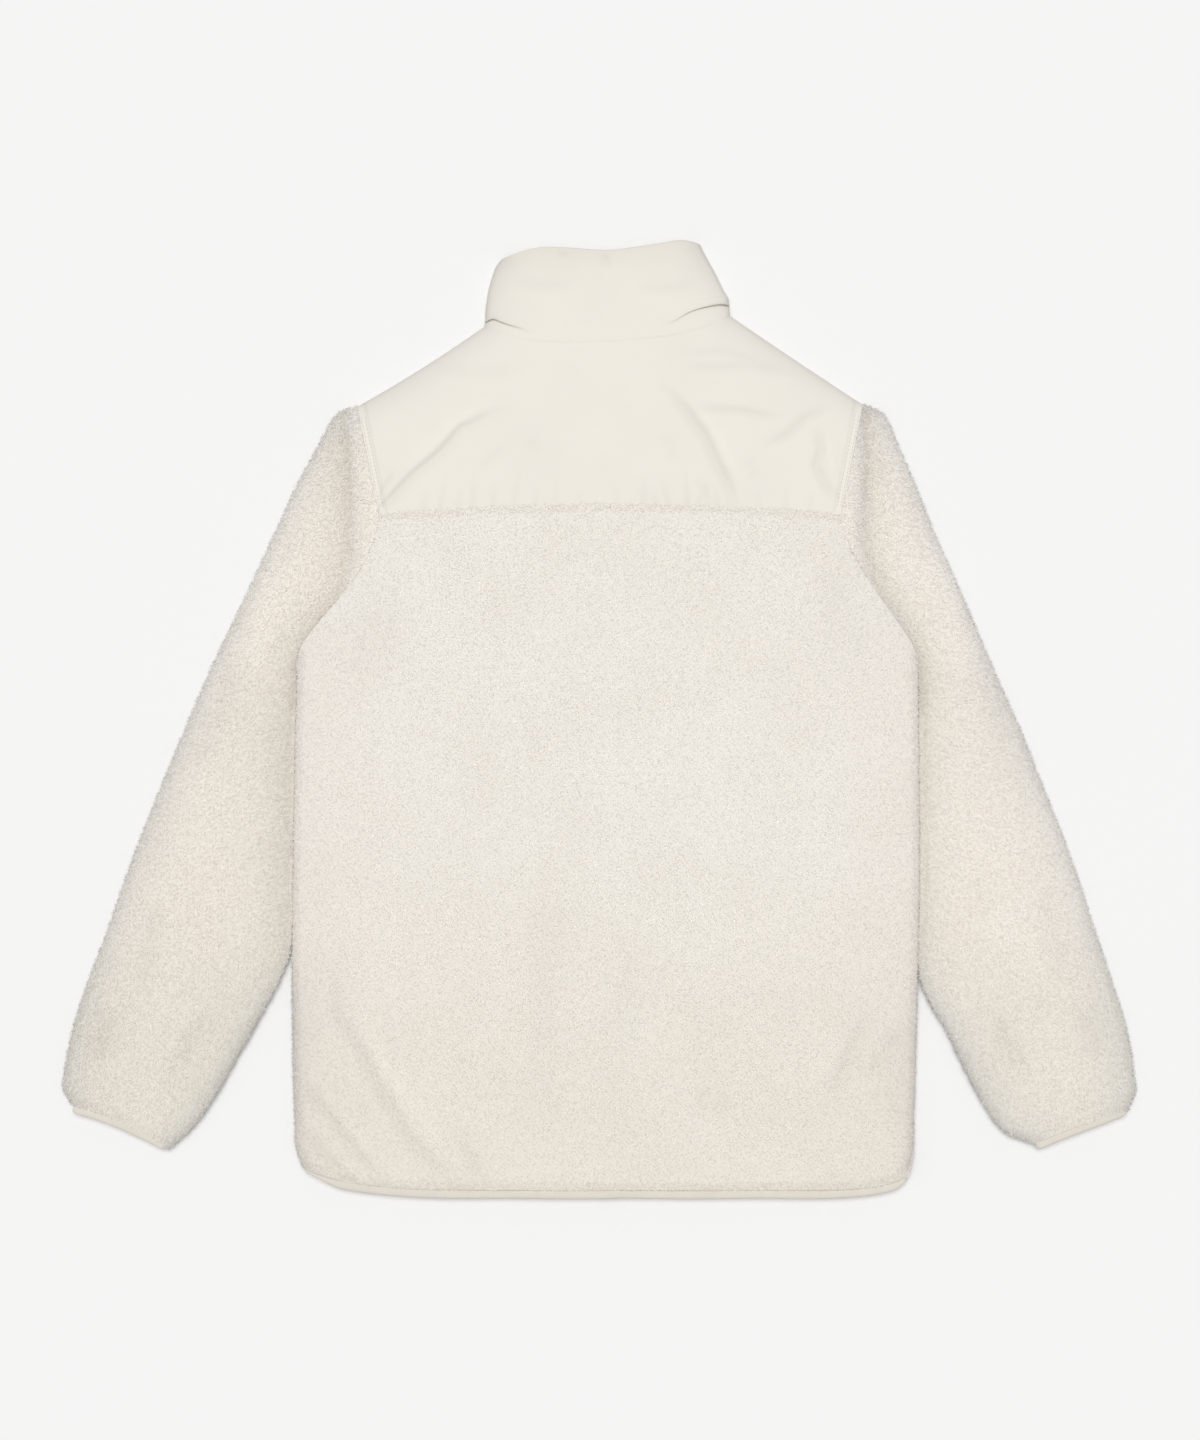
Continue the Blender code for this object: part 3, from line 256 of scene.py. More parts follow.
COLLAR_LAP = 1  # the collar's edge is sewn under the yoke's
COLLAR_LAP_DROP = 0.3
# How far the tuck's lip and the top edge lie above the rows of the table: x, then the rise
TUCK_LINE = ((-99, -3), (-91, 2.5), (-84, 1), (-76, -1), (-68, -3), (-60, -5.5), (-45, -2),
             (-30, 0), (40, 0), (52, -2.5), (62, -0.5), (76, 6), (92, 8.5), (104, 7), (110, 4))
COLLAR_TOP_LINE = ((-88, 0), (-72, 2.5), (-55, 4.2), (-30, 2), (-10, -1), (8, -3), (30, -2), (50, 0),
                   (72, 3), (86, 1))
TUCK_ROW = 3.2  # the tuck lies at this row of the table, and its line fades between these rows
TUCK_ROWS = (2.5, 5, 8)
TUCK_WIDTH = 0.7
TUCK_END = 5  # the painted shade in the tuck is darkest this near to its right end
TOP_ROWS = (7, 4)  # the top's line starts at this row, and is all there so many rows on
# Painted shade under the tuck's lip, and more near its right end
TUCK_PAINTED_SHADE = 0.34
TUCK_END_PAINTED_SHADE = 0.45
TUCK_DROP = 3.4  # how far the tuck's lip hangs down over the collar's foot
COLLAR_FOLDS = table(
    Fold,
    (((2, 398), (7, 389), (2, 381)), 3, 4, 0.6),
    (((-27, 397), (-34, 393)), 4, 3, 0.5),
    (((-80, 372), (-50, 367), (-15, 369)), 6, 5, 0.4),
    (((30, 366), (62, 364), (88, 371)), 6, 5, 0.4),
)

# Bindings
BINDING_HALF = 4.8
BINDING_EDGE = 4.8
HEM_BINDING_WIDTH = 7.6
BINDING_INSET = 1.2
HEM_WAVE = 0.25  # the hem's outline wanders a little
HEM_WAVE_LENGTH = 17
CUFF_BINDING_WIDTH = 6.6
CUFF_END = 0.5  # a cuff binding's ends are rounded to this share of its width
CUFF_ROUND = 5
CUFF_NARROW = 0.85  # and it is drawn in at one end, where the fleece hangs over it
CUFF_NARROW_REACH = 30
BINDING_LAP = 1.5  # the binding starts this far up under the pile
END_WIDTH_LEFT = 0.3  # the hem binding turns under at its left end, and shows this share of its width there
END_REACH_LEFT = 34
END_WIDTH_RIGHT = 0.55
END_REACH_RIGHT = 9

# Zip
ZIP_GAP_HALF = 7
ZIP_GAP_FADE = 60  # the fronts' cloth makes room for the zip over this width
ZIP_LEFT = CENTRE_X - ZIP_GAP_HALF
ZIP_RIGHT = CENTRE_X + ZIP_GAP_HALF

TUFT_ROUNDNESS = 0.35  # how much a tuft's shading turns away from that of the cloth under it
# Tufts: how far apart, their height, root and lean, and how much they differ in brightness each way
Pile = namedtuple("Pile", "spacing height root lean variety")
UPPER_PILE = Pile(2.1, 1.5, 1.8, 0.8, 0.07)
SLEEVE_PILE = Pile(2.3, 1.8, 1.8, 1.2, 0.07)
UNDER_PILE_KIND = Pile(2.9, 1.2, 1.7, 0.8, 0.05)
TUFT_ROOT_PAINTED_SHADE = 0.93  # painted shade: their roots, where less light gets in, are painted this bright
HAIR_START = 1  # loose fibres leave the pile this far above the cloth
UPRIGHT = 0.7  # the tufts on top look up towards the light, also where the cloth rolls over
FOLD_PAINTED_SHADE = 0.028  # painted shade: share of the light taken off in a trough, for each millimetre of its depth

# Painted shade, put into the colour: where cloth turns away at a rim, or dips into a crease, less light reaches it.
# Each is a depth with the distance in which it fades, for red, and a tint: how much each colour loses
Shade = namedtuple("Shade", "depth reach tint")
RIM_TINT = (1, 0.88, 0.7)
CREASE_TINT = (1, 1.1, 1.35)
FLEECE_RIM = Shade(0.17, 12, RIM_TINT)
BODY_RIM_LEFT = Shade(0.16, 7, RIM_TINT)
BODY_RIM_RIGHT = Shade(0.13, 4.5, RIM_TINT)
SLEEVE_RIM = Shade(0.16, 15, RIM_TINT)
HEM_EDGE = Shade(0.035, 3.5, RIM_TINT)
WOVEN_RIM = Shade(0.19, 9.3, (1, 1, 0.95))
COLLAR_TOP_RIM = Shade(0.09, 13, (0.8, 1, 1.1))
BESIDE = (Shade(0.18, 11, (1, 1, 1.1)), Shade(0.18, 22, (1, 1, 1.1)))  # on the sleeves, beside the body
BODY_SIDE_LEFT = Shade(0.04, 5, RIM_TINT)  # on the body, beside the sleeve
BODY_SIDE_RIGHT = Shade(0.05, 4, RIM_TINT)
ARMHOLE_OUTER = (Shade(0.22, 10, (1, 1.02, 1.15)), Shade(0.21, 12, (1, 1.02, 1.15)))
BROAD_SIDE = Shade(0.035, 45, (0.8, 1.1, 1))  # painted shade: the back's sides are a little darker than its middle
ARMHOLE_INNER = (Shade(0.22, 7, (1, 0.95, 0.8)), Shade(0.16, 7, (1, 0.95, 0.8)))


# Curves and helpers

def smoothstep(value):
    t = np.clip(value, 0, 1)
    return t * t * (3 - 2 * t)


def unit(vectors):
    return vectors / np.maximum(np.linalg.norm(vectors, axis=-1, keepdims=True), 1e-9)


def curve(at, knots, values):
    """A smooth curve through values at knots. It keeps the last value outside them."""
    knots, values = np.asarray(knots, float), np.asarray(values, float)
    slopes = np.gradient(values, knots, axis=0)
    i = np.clip(np.searchsorted(knots, at) - 1, 0, len(knots) - 2)
    width = knots[i + 1] - knots[i]
    t = np.clip((at - knots[i]) / width, 0, 1)
    if values.ndim > 1:
        extra = (1,) * (values.ndim - 1)
        t, width = np.reshape(t, np.shape(t) + extra), np.reshape(width, np.shape(width) + extra)
    start = (1 + 2 * t) * (1 - t) ** 2 * values[i] + t * (1 - t) ** 2 * width * slopes[i]
    return start + t * t * (3 - 2 * t) * values[i + 1] + t * t * (t - 1) * width * slopes[i + 1]


def edge_at(table, y, is_left):
    """x of an edge given by a table, at height y."""
    rows = sorted(table, key=lambda row: row.y)
    return curve(y, [row.y for row in rows], [row.left if is_left else row.right for row in rows])


def roll(distance, radius, fullness=2):
    """Share of the full height at this distance in from a folded edge."""
    inside = np.clip(1 - distance / radius, 0, 1)
    return (1 - inside**fullness) ** (1 / fullness)


def along_line(points, line):
    """Distance of each point to a line, the share of the line passed there, and the side: 1 is left."""
    line = np.asarray(line, float)
    steps = np.diff(line, axis=0)
    lengths = np.linalg.norm(steps, axis=1)
    gone = np.concatenate([[0], np.cumsum(lengths)])
    best = np.full(points.shape[:-1], np.inf)
    passed, side = np.zeros_like(best), np.zeros_like(best)
    for start, step, length, before in zip(line, steps, lengths, gone):
        off = points - start
        t = np.clip(off @ step / length**2, 0, 1)
        distance = np.linalg.norm(off - t[..., None] * step, axis=-1)
        closer = distance < best
        best = np.where(closer, distance, best)
        passed = np.where(closer, before + t * length, passed)
        side = np.where(closer, np.sign(step[0] * off[..., 1] - step[1] * off[..., 0]), side)
    return best, passed / gone[-1], side


def trough(folds, plan):
    """How far the folds lower the cloth at these points."""
    total = np.zeros(plan.shape[:-1])
    for fold in folds:
        off, share, side = along_line(plan, fold.line)
        fade = smoothstep(share * 3) * smoothstep((1 - share) * 3)
        width = np.where(side > 0, fold.left, fold.right)
        total += FOLD_SCALE * fold.depth * fade * np.exp(-((off / width) ** 2))
    return total


def waves(plan, seed, length, height, count=9):
    """Slow, uneven rises, as on cloth that was smoothed out by hand."""
    rng = np.random.default_rng(seed)
    total = np.zeros(plan.shape[:-1])
    for _ in range(count):
        angle, phase = rng.uniform(0, 2 * math.pi, 2)
        direction = np.array((math.cos(angle), math.sin(angle)))
        total += np.sin(2 * math.pi * (plan @ direction) / (length * rng.uniform(0.6, 1.7)) + phase)
    return height * total / math.sqrt(count)


def at_distance(line, distances):
    gone = np.concatenate([[0], np.cumsum(np.linalg.norm(np.diff(line, axis=0), axis=1))])
    return np.stack([np.interp(distances, gone, line[:, k]) for k in range(line.shape[1])], axis=-1)


def line_length(line):
    return np.linalg.norm(np.diff(line, axis=0), axis=1).sum()


def with_height(plan, z):
    return np.concatenate([plan, np.broadcast_to(z, plan.shape[:-1])[..., None]], axis=-1)


def plan_origin():
    """Where the plan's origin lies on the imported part, in millimetres."""
    low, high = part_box("back_yoke")
    return np.array((low.x / MM - SHOULDER_LEFT[0], high.y / MM - NECK_RIGHT[1], 0))


ORIGIN = plan_origin()


# Meshes

def add_object(name, data):
    made = bpy.data.objects.new(name, data)
    bpy.context.scene.collection.objects.link(made)
    return made


def new_piece(name, points, faces, material, smooth=True, tone=None):
    mesh = bpy.data.meshes.new(name)
    mesh.from_pydata((points.reshape(-1, 3) + ORIGIN) * MM, [], faces)
    mesh.polygons.foreach_set("use_smooth", np.full(len(mesh.polygons), smooth))
    mesh.materials.append(material)
    # Painted shade, with random brightness on the tufts and fibres, kept on each point as a colour attribute
    if tone is not None:
        colours = np.ones((len(mesh.vertices), 4))
        colours[:, :3] = tone.reshape(-1, 3)
        mesh.attributes.new("tone", "FLOAT_COLOR", "POINT").data.foreach_set("color", colours.ravel())
    piece = add_object(name, mesh)
    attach(piece, BODY)
    return piece


def grid_faces(rows, columns, ring=False, flip=False, start=0):
    r, c = np.meshgrid(np.arange(rows - 1), np.arange(columns if ring else columns - 1), indexing="ij")
    a = (r * columns + c).ravel() + start
    b = (r * columns + (c + 1) % columns).ravel() + start
    faces = np.stack([a, b, b + columns, a + columns], axis=1)
    return faces[:, ::-1] if flip else faces


def grid_normals(points, ring=False, flip=False):
    if ring:
        across = np.roll(points, -1, axis=1) - np.roll(points, 1, axis=1)
    else:
        across = np.gradient(points, axis=1)
    normals = unit(np.cross(across, np.gradient(points, axis=0)))
    return -normals if flip else normals


GOLDEN = 0.618  # steps of this share spread points evenly
JITTER = 0.15
ROOT_SINK = 0.45  # a tuft's root starts this far down in the cloth
LOWEST = 0.1  # no hair reaches below this


# A shell's grid, how its faces run, and how much of each colour is left at each of its points after painted shade
Sheet = namedtuple("Sheet", "points ring flip tone", defaults=(None,))


def shell(name, sheet, material):
    rows, columns = sheet.points.shape[:2]
    faces = grid_faces(rows, columns, sheet.ring, sheet.flip)
    return new_piece(name, sheet.points, faces, material, tone=sheet.tone)


def scatter(sheet, spacing, rng, weight=None):
    """Points spread evenly and at random over a grid, and the normals and the painted shade there."""
    points, tone = sheet.points, sheet.tone
    normals = grid_normals(points, sheet.ring, sheet.flip)
    if sheet.ring:
        points, normals, tone = (np.concatenate([grid, grid[:, :1]], axis=1) for grid in (points, normals, tone))
    a, b, c, d = points[:-1, :-1], points[:-1, 1:], points[1:, 1:], points[1:, :-1]
    area = 0.5 * np.linalg.norm(np.cross(c - a, d - b), axis=-1)
    expected = area / spacing**2
    if weight is not None:
        expected = expected * weight(0.25 * (a + b + c + d))
    count = np.floor(expected + rng.random(expected.shape)).astype(int).ravel()
    cell = np.repeat(np.arange(count.size), count)
    order = np.arange(cell.size) - np.repeat(np.cumsum(count) - count, count)
    start = rng.random(count.size)[cell]
    u = (order + rng.random(cell.size)) / count[cell]
    v = (start + order * GOLDEN + JITTER * rng.random(cell.size)) % 1
    rows, columns = np.unravel_index(cell, area.shape)

    def blend(grid):
        low = grid[rows, columns] * (1 - v)[:, None] + grid[rows, columns + 1] * v[:, None]
        high = grid[rows + 1, columns] * (1 - v)[:, None] + grid[rows + 1, columns + 1] * v[:, None]
        return low * (1 - u)[:, None] + high * u[:, None]

    return blend(points), unit(blend(normals)), blend(tone)


def frames(normals, rng):
    """Two directions across each normal, turned at random."""
    helper = np.where(np.abs(normals[:, 2:]) < 0.9, (0, 0, 1), (1, 0, 0))
    side = unit(np.cross(helper, normals))
    other = np.cross(normals, side)
    angle = rng.uniform(0, 2 * math.pi, len(normals))[:, None]
    return np.cos(angle) * side + np.sin(angle) * other, np.cos(angle) * other - np.sin(angle) * side


def upright(normals):
    return unit(normals + UPRIGHT * np.array((0, 0, 1)) * (normals[:, 2:] > -0.2))


def tufts(name, sheet, kind, material, seed, lowest=None, weight=None):
    """The pile of one panel: small leaning tufts of three faces each, as one mesh."""
    rng = np.random.default_rng(seed)
    roots, normals, tone = scatter(sheet, kind.spacing, rng, weight)
    side, other = frames(normals, rng)
    count = len(roots)
    size = rng.uniform(0.75, 1.25, count)[:, None] * kind.root
    corners = []
    for turn in (0, 2 / 3 * math.pi, 4 / 3 * math.pi):  # three roots round the tip
        wobble = turn + rng.uniform(-0.35, 0.35, count)[:, None]
        corners.append(roots - ROOT_SINK * normals + size * (np.cos(wobble) * side + np.sin(wobble) * other))
    height = kind.height * rng.uniform(0.55, 1.2, count)[:, None]
    lean = kind.lean * rng.uniform(0.2, 1.1, count)[:, None]
    corners.append(roots + height * normals + lean * side)
    points = np.stack(corners, axis=1)
    if lowest is not None:
        points[..., 2] = np.maximum(points[..., 2], lowest)
    base = 4 * np.arange(count)[:, None]
    faces = np.concatenate([base + tri for tri in ((0, 1, 3), (1, 2, 3), (2, 0, 3))])
    tone = tone * (1 + kind.variety * rng.uniform(-1, 1, (count, 1)))
    # Painted shade: the three roots of each tuft are darker than its tip
    shade = np.array([TUFT_ROOT_PAINTED_SHADE] * 3 + [1])
    tone = tone[:, None, :] * shade[:, None]
    piece = new_piece(name, points, faces, material, tone=tone)
    across_root = unit(points - roots[:, None, :])
    soft = unit(upright(normals)[:, None, :] + TUFT_ROUNDNESS * across_root)
    piece.data.normals_split_custom_set_from_vertices(soft.reshape(-1, 3))
    return piece


def hairs(name, sheet, spacing, length, material, seed, weight, half=0.28, variety=0.05):
    """Loose single fibres, for the soft outline, as one mesh of thin triangles."""
    rng = np.random.default_rng(seed)
    roots, normals, tone = scatter(sheet, spacing, rng, weight)
    side, other = frames(normals, rng)
    count = len(roots)
    reach = length * rng.uniform(0.5, 1.15, count)[:, None]
    root = roots + HAIR_START * normals
    tip = root + reach * (rng.uniform(0.05, 0.45, count)[:, None] * normals + 0.85 * side)
    half = half * rng.uniform(0.7, 1.3, count)[:, None]
    tone = tone * (1 + variety * rng.uniform(-1, 1, (count, 1)))
    points = np.stack([root - half * other, root + half * other, tip], axis=1)
    points[..., 2] = np.maximum(points[..., 2], LOWEST)
    faces = np.arange(3 * count).reshape(-1, 3)[:, ::-1]
    return new_piece(name, points, faces, material, tone=np.repeat(tone, 3, axis=0))


# Materials

THREAD_PERIOD = 0.0006  # of the plain weave, in metres


def grey(value):
    return (value, value, value)


def darker(colour, share):
    return tuple(share * c for c in colour)


class Paint:
    """A material, and the nodes that feed its shader."""

    def __init__(self, name, colour, roughness, metallic=0, sheen=0):
        self.material = bpy.data.materials.new(name)
        self.material.use_nodes = True
        self.tree = self.material.node_tree
        self.inputs = self.tree.nodes["Principled BSDF"].inputs
        self.inputs["Base Color"].default_value = (*colour, 1)
        self.inputs["Roughness"].default_value = roughness
        self.inputs["Metallic"].default_value = metallic
        self.inputs["Sheen Weight"].default_value = sheen

    def add(self, kind, links=(), **values):
        """A node with its values, and the outputs that lead into its inputs."""
        made = self.tree.nodes.new("ShaderNode" + kind)
        for key, value in values.items():
            if key in made.inputs:
                made.inputs[key].default_value = value
            else:
                setattr(made, key, value)
        for key, output in dict(links).items():
            self.tree.links.new(output, made.inputs[key])
        return made

    def feed(self, name, output):
        self.tree.links.new(output, self.inputs[name])

    def place(self):
        return self.add("TexCoord").outputs["Object"]

    def noise(self, scale, detail=3):
        return self.add("TexNoise", {"Vector": self.place()}, Scale=scale, Detail=detail).outputs["Fac"]

    def bands(self, period, distortion, turn=0, direction="X"):
        """Straight threads side by side, one for each period in metres, as a height."""
        turned = self.add("Mapping", {"Vector": self.place()}, Rotation=(0, 0, turn)).outputs["Vector"]
        return self.add("TexWave", {"Vector": turned}, Scale=0.314 / period, Distortion=distortion,
                        bands_direction=direction).outputs["Fac"]

    def weave(self):
        """Threads over and under each other, as a height."""
        threads = [self.bands(THREAD_PERIOD, 0.6, direction=direction) for direction in "XY"]
        return self.add("Math", enumerate(threads), operation="MULTIPLY").outputs["Value"]

    def ramp(self, value, low, high, low_at=0.3, high_at=0.7):
        made = self.add("ValToRGB", {"Fac": value})
        for end, at, colour in zip(made.color_ramp.elements, (low_at, high_at), (low, high)):
            end.position, end.color = at, (*colour, 1)
        return made.outputs["Color"]

    def tint(self, first, second):
        """Multiplies two colours."""
        return self.add("Mix", {6: first, 7: second}, data_type="RGBA", blend_type="MULTIPLY", Factor=1).outputs[2]

    # Multiplies a colour by the painted shade and random brightness kept on the mesh
    def with_painted_shade(self, colour):
        return self.tint(colour, self.add("Attribute", attribute_name="tone").outputs["Color"])

    def bump(self, height, distance, strength, under=None):
        links = {"Height": height} if under is None else {"Height": height, "Normal": under}
        made = self.add("Bump", links, Strength=strength, Distance=distance).outputs["Normal"]
        self.feed("Normal", made)
        return made


def make_fleece(name, colour):
    paint = Paint(name, colour, 0.95, sheen=0.08)
    fine = paint.ramp(paint.noise(420, 4), darker(colour, 0.955), colour)
    broad = paint.ramp(paint.noise(14, 2), (0.975, 0.97, 0.965), grey(1))
    paint.feed("Base Color", paint.with_painted_shade(paint.tint(fine, broad)))
    paint.bump(paint.noise(1400), 0.0006, 0.6)
    paint.inputs["Sheen Roughness"].default_value = 0.6
    return paint.material


def make_woven(name, colour):
    paint = Paint(name, colour, 0.62, sheen=0.12)
    threads = paint.ramp(paint.weave(), darker(colour, 0.965), colour, 0.1, 0.6)
    broad = paint.ramp(paint.noise(20, 2), grey(0.98), grey(1))
    paint.feed("Base Color", paint.with_painted_shade(paint.tint(threads, broad)))
    slub = paint.bump(paint.noise(90), 0.0008, 0.25)
    paint.bump(paint.weave(), 0.00012, 0.5, slub)
    return paint.material


def make_ribbed(name, colour, period=0.0011, turn=0):
    paint = Paint(name, colour, 0.75, sheen=0.15)
    ribs = paint.bands(period, 0.4, turn)
    colours = paint.ramp(ribs, darker(colour, 0.93), colour, 0.1, 0.7)
    paint.feed("Base Color", paint.tint(colours, paint.ramp(paint.noise(60), grey(0.95), grey(1))))
    paint.bump(ribs, 0.0002, 0.7)
    return paint.material


def make_metal(name, colour):
    paint = Paint(name, colour, 0.34, 1)
    paint.feed("Base Color", paint.ramp(paint.noise(260, 4), darker(colour, 0.86), colour))
    paint.feed("Roughness", paint.ramp(paint.noise(700), grey(0.28), grey(0.42)))
    paint.bump(paint.noise(900, 2), 0.0001, 0.3)
    return paint.material


FLEECE_COLOUR = (0.911, 0.873, 0.811)
WOVEN_COLOUR = (0.855, 0.82, 0.745)
BINDING_COLOUR = (0.785, 0.734, 0.652)

fleece = make_fleece("fleece_pile", FLEECE_COLOUR)
fleece_ground = make_fleece("fleece_ground", darker(FLEECE_COLOUR, 0.93))
woven = make_woven("woven_shell", WOVEN_COLOUR)
hem_cloth = make_ribbed("hem_tape", BINDING_COLOUR)
cuff_left_cloth = make_ribbed("cuff_tape_left", BINDING_COLOUR, turn=math.radians(-22.6))
cuff_right_cloth = make_ribbed("cuff_tape_right", BINDING_COLOUR, turn=math.radians(20.1))
zip_cloth = make_ribbed("zip_tape_cloth", (0.8, 0.75, 0.66), 0.0009, math.pi / 2)
teeth_metal = make_metal("zip_teeth_metal", (0.72, 0.69, 0.64))
pull_metal = make_metal("zip_pull_metal", (0.75, 0.72, 0.66))
thread = make_ribbed("sewing_thread", (0.88, 0.84, 0.76), 0.0005, 0.7)


# Plan of the body

def across(left, right, columns, left_knee=None, right_knee=None):
    """x of every column of a row. A knee is where the neck point's column goes."""
    halves = []
    shares = np.linspace(0, 1, columns + 1)
    for side, edge, knee in ((-1, left, left_knee), (1, right, right_knee)):
        stop = edge - side * EDGE
        if knee is None:
            knee = CENTRE_X + NECK_SHARE * (stop - CENTRE_X)
        flat = np.interp(shares, (0, NECK_SHARE, 1), (CENTRE_X, knee, stop))
        halves.append(np.concatenate([flat, [edge - side * EDGE * step for step in FOLD_STEPS[1:]]]))
    return np.concatenate([halves[0][::-1], halves[1][1:]])


def side_share(x):
    return np.where(x < CENTRE_X, (CENTRE_X - x) / (CENTRE_X - x[0]), (x - CENTRE_X) / (x[-1] - CENTRE_X))


def spaced(start, end, step):
    return np.linspace(start, end, max(2, int(round(abs(end - start) / step)) + 1))


def body_row(y, columns):
    table = BODY_SIDES + ARMHOLE
    x = across(edge_at(table, y, True), edge_at(table, y, False), columns)
    share = side_share(x)
    rise = np.where(x < CENTRE_X, HEM_RISE_LEFT, HEM_RISE_RIGHT)
    power = np.where(x < CENTRE_X, HEM_POWER_LEFT, HEM_POWER_RIGHT)
    dip = (HEM_DIP - rise * share**power) * (1 - smoothstep((y - BODY_SIDES[0].y) / HEM_FADE))
    climb = smoothstep((y - BODY_SIDES[-1].y) / (ARMHOLE[-1].y - BODY_SIDES[-1].y))
    return np.stack([x, y - dip + YOKE_SEAM_RISE * (1 - share**2) * climb], axis=1)


def lower_plan(step, columns):
    """The body from the hem to the yoke seam, as rows of points."""
    return np.array([body_row(y, columns) for y in spaced(BODY_SIDES[0].y, ARMHOLE[-1].y, step)])


def bow(share, depth, power):
    return depth * (1 - np.abs(2 * share - 1) ** power)


def top_line(x, front):
    """y of the shoulder lines and of the neckline between them."""
    knots = (SHOULDER_LEFT, NECK_LEFT, NECK_RIGHT, SHOULDER_RIGHT)
    straight = np.interp(x, *np.transpose(knots))
    left, neck, right = (np.clip((x - a[0]) / (b[0] - a[0]), 0, 1) for a, b in zip(knots, knots[1:]))
    depth = FRONT_NECK_DEPTH if front else BACK_NECK_DEPTH
    power = FRONT_NECK_POWER if front else BACK_NECK_POWER
    sag = bow(left, SHOULDER_SAG_LEFT, 2) + bow(right, SHOULDER_SAG_RIGHT, 2)
    return straight - bow(neck, depth, power) - sag


def upper_plan(first_row, front, columns, step):
    """From the height of the yoke seam to the shoulders and the neckline."""
    x = across(SHOULDER_LEFT[0], SHOULDER_RIGHT[0], columns, NECK_LEFT[0], NECK_RIGHT[0])
    ends = np.stack([x, top_line(x, front)], axis=1)
    down = unit(first_row - ends)
    stop = ends + down * EDGE
    height = SHOULDER_LEFT[1] - ARMHOLE[-1].y + NECK_ABOVE
    rows = [first_row + share * (stop - first_row) for share in np.linspace(0, 1, int(height / step))]
    rows += [ends + down * EDGE * turn for turn in FOLD_STEPS[1:]]
    return np.array(rows)


def side_line(is_left):
    y = spaced(BODY_SIDES[0].y, BODY_SIDES[-1].y, 9)
    return np.stack([edge_at(BODY_SIDES + ARMHOLE, y, is_left), y], axis=1)


def armhole_line(is_left):
    """The armhole's seam from the shoulder to the underarm, seen from above."""
    y = spaced(ARMHOLE[-1].y, BODY_SIDES[-1].y, 4)
    low = np.stack([edge_at(BODY_SIDES + ARMHOLE, y, is_left), y], axis=1)
    top = np.array(SHOULDER_LEFT if is_left else SHOULDER_RIGHT)
    share = np.linspace(0, 1, 20)[:-1, None]
    return np.concatenate([top + share * (low[0] - top), low])


def shoulder_line(is_left):
    start, end = (SHOULDER_LEFT, NECK_LEFT) if is_left else (NECK_RIGHT, SHOULDER_RIGHT)
    x = np.linspace(start[0], end[0], 15)
    return np.stack([x, top_line(x, False)], axis=1)


def distance(plan, lines):
    return np.min([along_line(plan, line)[0] for line in lines], axis=0)


def both(line):
    return [line(True), line(False)]


def folded_edges():
    return both(side_line) + both(shoulder_line)


def groove(off, width, depth):
    """A sewn seam draws the cloth down beside it."""
    return depth * np.exp(-((off / width) ** 2))


def painted_shade(off, shade):
    """How much of each colour is painted off as shade at a place this far from a rim or a crease."""
    return (shade.depth * np.exp(-off / shade.reach))[..., None] * shade.tint


LOW_PAINTED_SHADE = ((-381, 0.062), (-260, 0.05), (-196, 0.028), (-111, 0))  # painted shade, as the light falls off: the back is darker near its hem
LOW_SHADE_TINT = (0.6, 0.7, 1)
FREE_BELOW = -200  # below this height the sleeves no longer lie beside the back
FREE_FADE = 40
HOLE_SHARE = 0.6  # the armholes' edges put painted shade on the back, this share of what the side gets
HEM_COLUMNS = 24


# Painted shade on the body's fleece: at its sides and armholes, towards the hem, in the folds and along the hem
def body_painted_shade(plan, painted_shade_share):
    left, right = along_line(plan, side_line(True))[0], along_line(plan, side_line(False))[0]
    low = curve(plan[..., 1], *np.transpose(LOW_PAINTED_SHADE))
    hole = distance(plan, both(armhole_line))
    free = smoothstep((FREE_BELOW - plan[..., 1]) / FREE_FADE)[..., None]
    shade = painted_shade(np.minimum(left, right), BROAD_SIDE) + painted_shade(hole, BODY_SIDE_LEFT) * HOLE_SHARE
    shade += (1 - free) * (painted_shade(left, BODY_SIDE_LEFT) + painted_shade(right, BODY_SIDE_RIGHT))
    shade += free * (painted_shade(left, BODY_RIM_LEFT) + painted_shade(right, BODY_RIM_RIGHT))
    shade += low[..., None] * LOW_SHADE_TINT + FOLD_PAINTED_SHADE * trough(BODY_FOLDS, plan)[..., None]
    shade += painted_shade(distance(plan, [body_row(BODY_SIDES[0].y, HEM_COLUMNS)]), HEM_EDGE)
    return 1 - painted_shade_share * shade


# Fleece body

BACK_STEP = 3.1
BACK_COLUMNS = 84
back_plan = lower_plan(BACK_STEP, BACK_COLUMNS)
from_fold = distance(back_plan, folded_edges())
from_armhole = distance(back_plan, both(armhole_line))
back_top = (
    FLEECE_TOP - PILE - trough(BODY_FOLDS, back_plan) + waves(back_plan, 3, 130, 0.35)
    - groove(from_armhole, 4, 0.9)
)
back_z = MIDDLE + (back_top - MIDDLE) * roll(from_fold, SOFT_EDGE, EDGE_FULLNESS)
back_sheet = Sheet(with_height(back_plan, back_z), False, False, body_painted_shade(back_plan, 1))
back = shell("back_fleece", back_sheet, fleece_ground)
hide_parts("back_panel")
split = len(back_plan) // 2
for name, rows, seed in (("low", slice(None, split + 1), 11), ("high", slice(split, None), 12)):
    part = Sheet(back_sheet.points[rows], False, False, back_sheet.tone[rows])
    tufts("back_pile_" + name, part, UPPER_PILE, fleece, seed)


def fuzz_weight(edges, width, elsewhere):
    """Loose fibres are densest where the cloth rolls over or ends."""
    def weight(points):
        return np.where(distance(points[..., :2], edges) < width, 1, elsewhere)
    return weight


at_rim = fuzz_weight(folded_edges() + [back_plan[0], back_plan[-1]], 7, 0.12)
hairs("back_fibres", back_sheet, 1.5, 3.4, fleece, 13, at_rim)

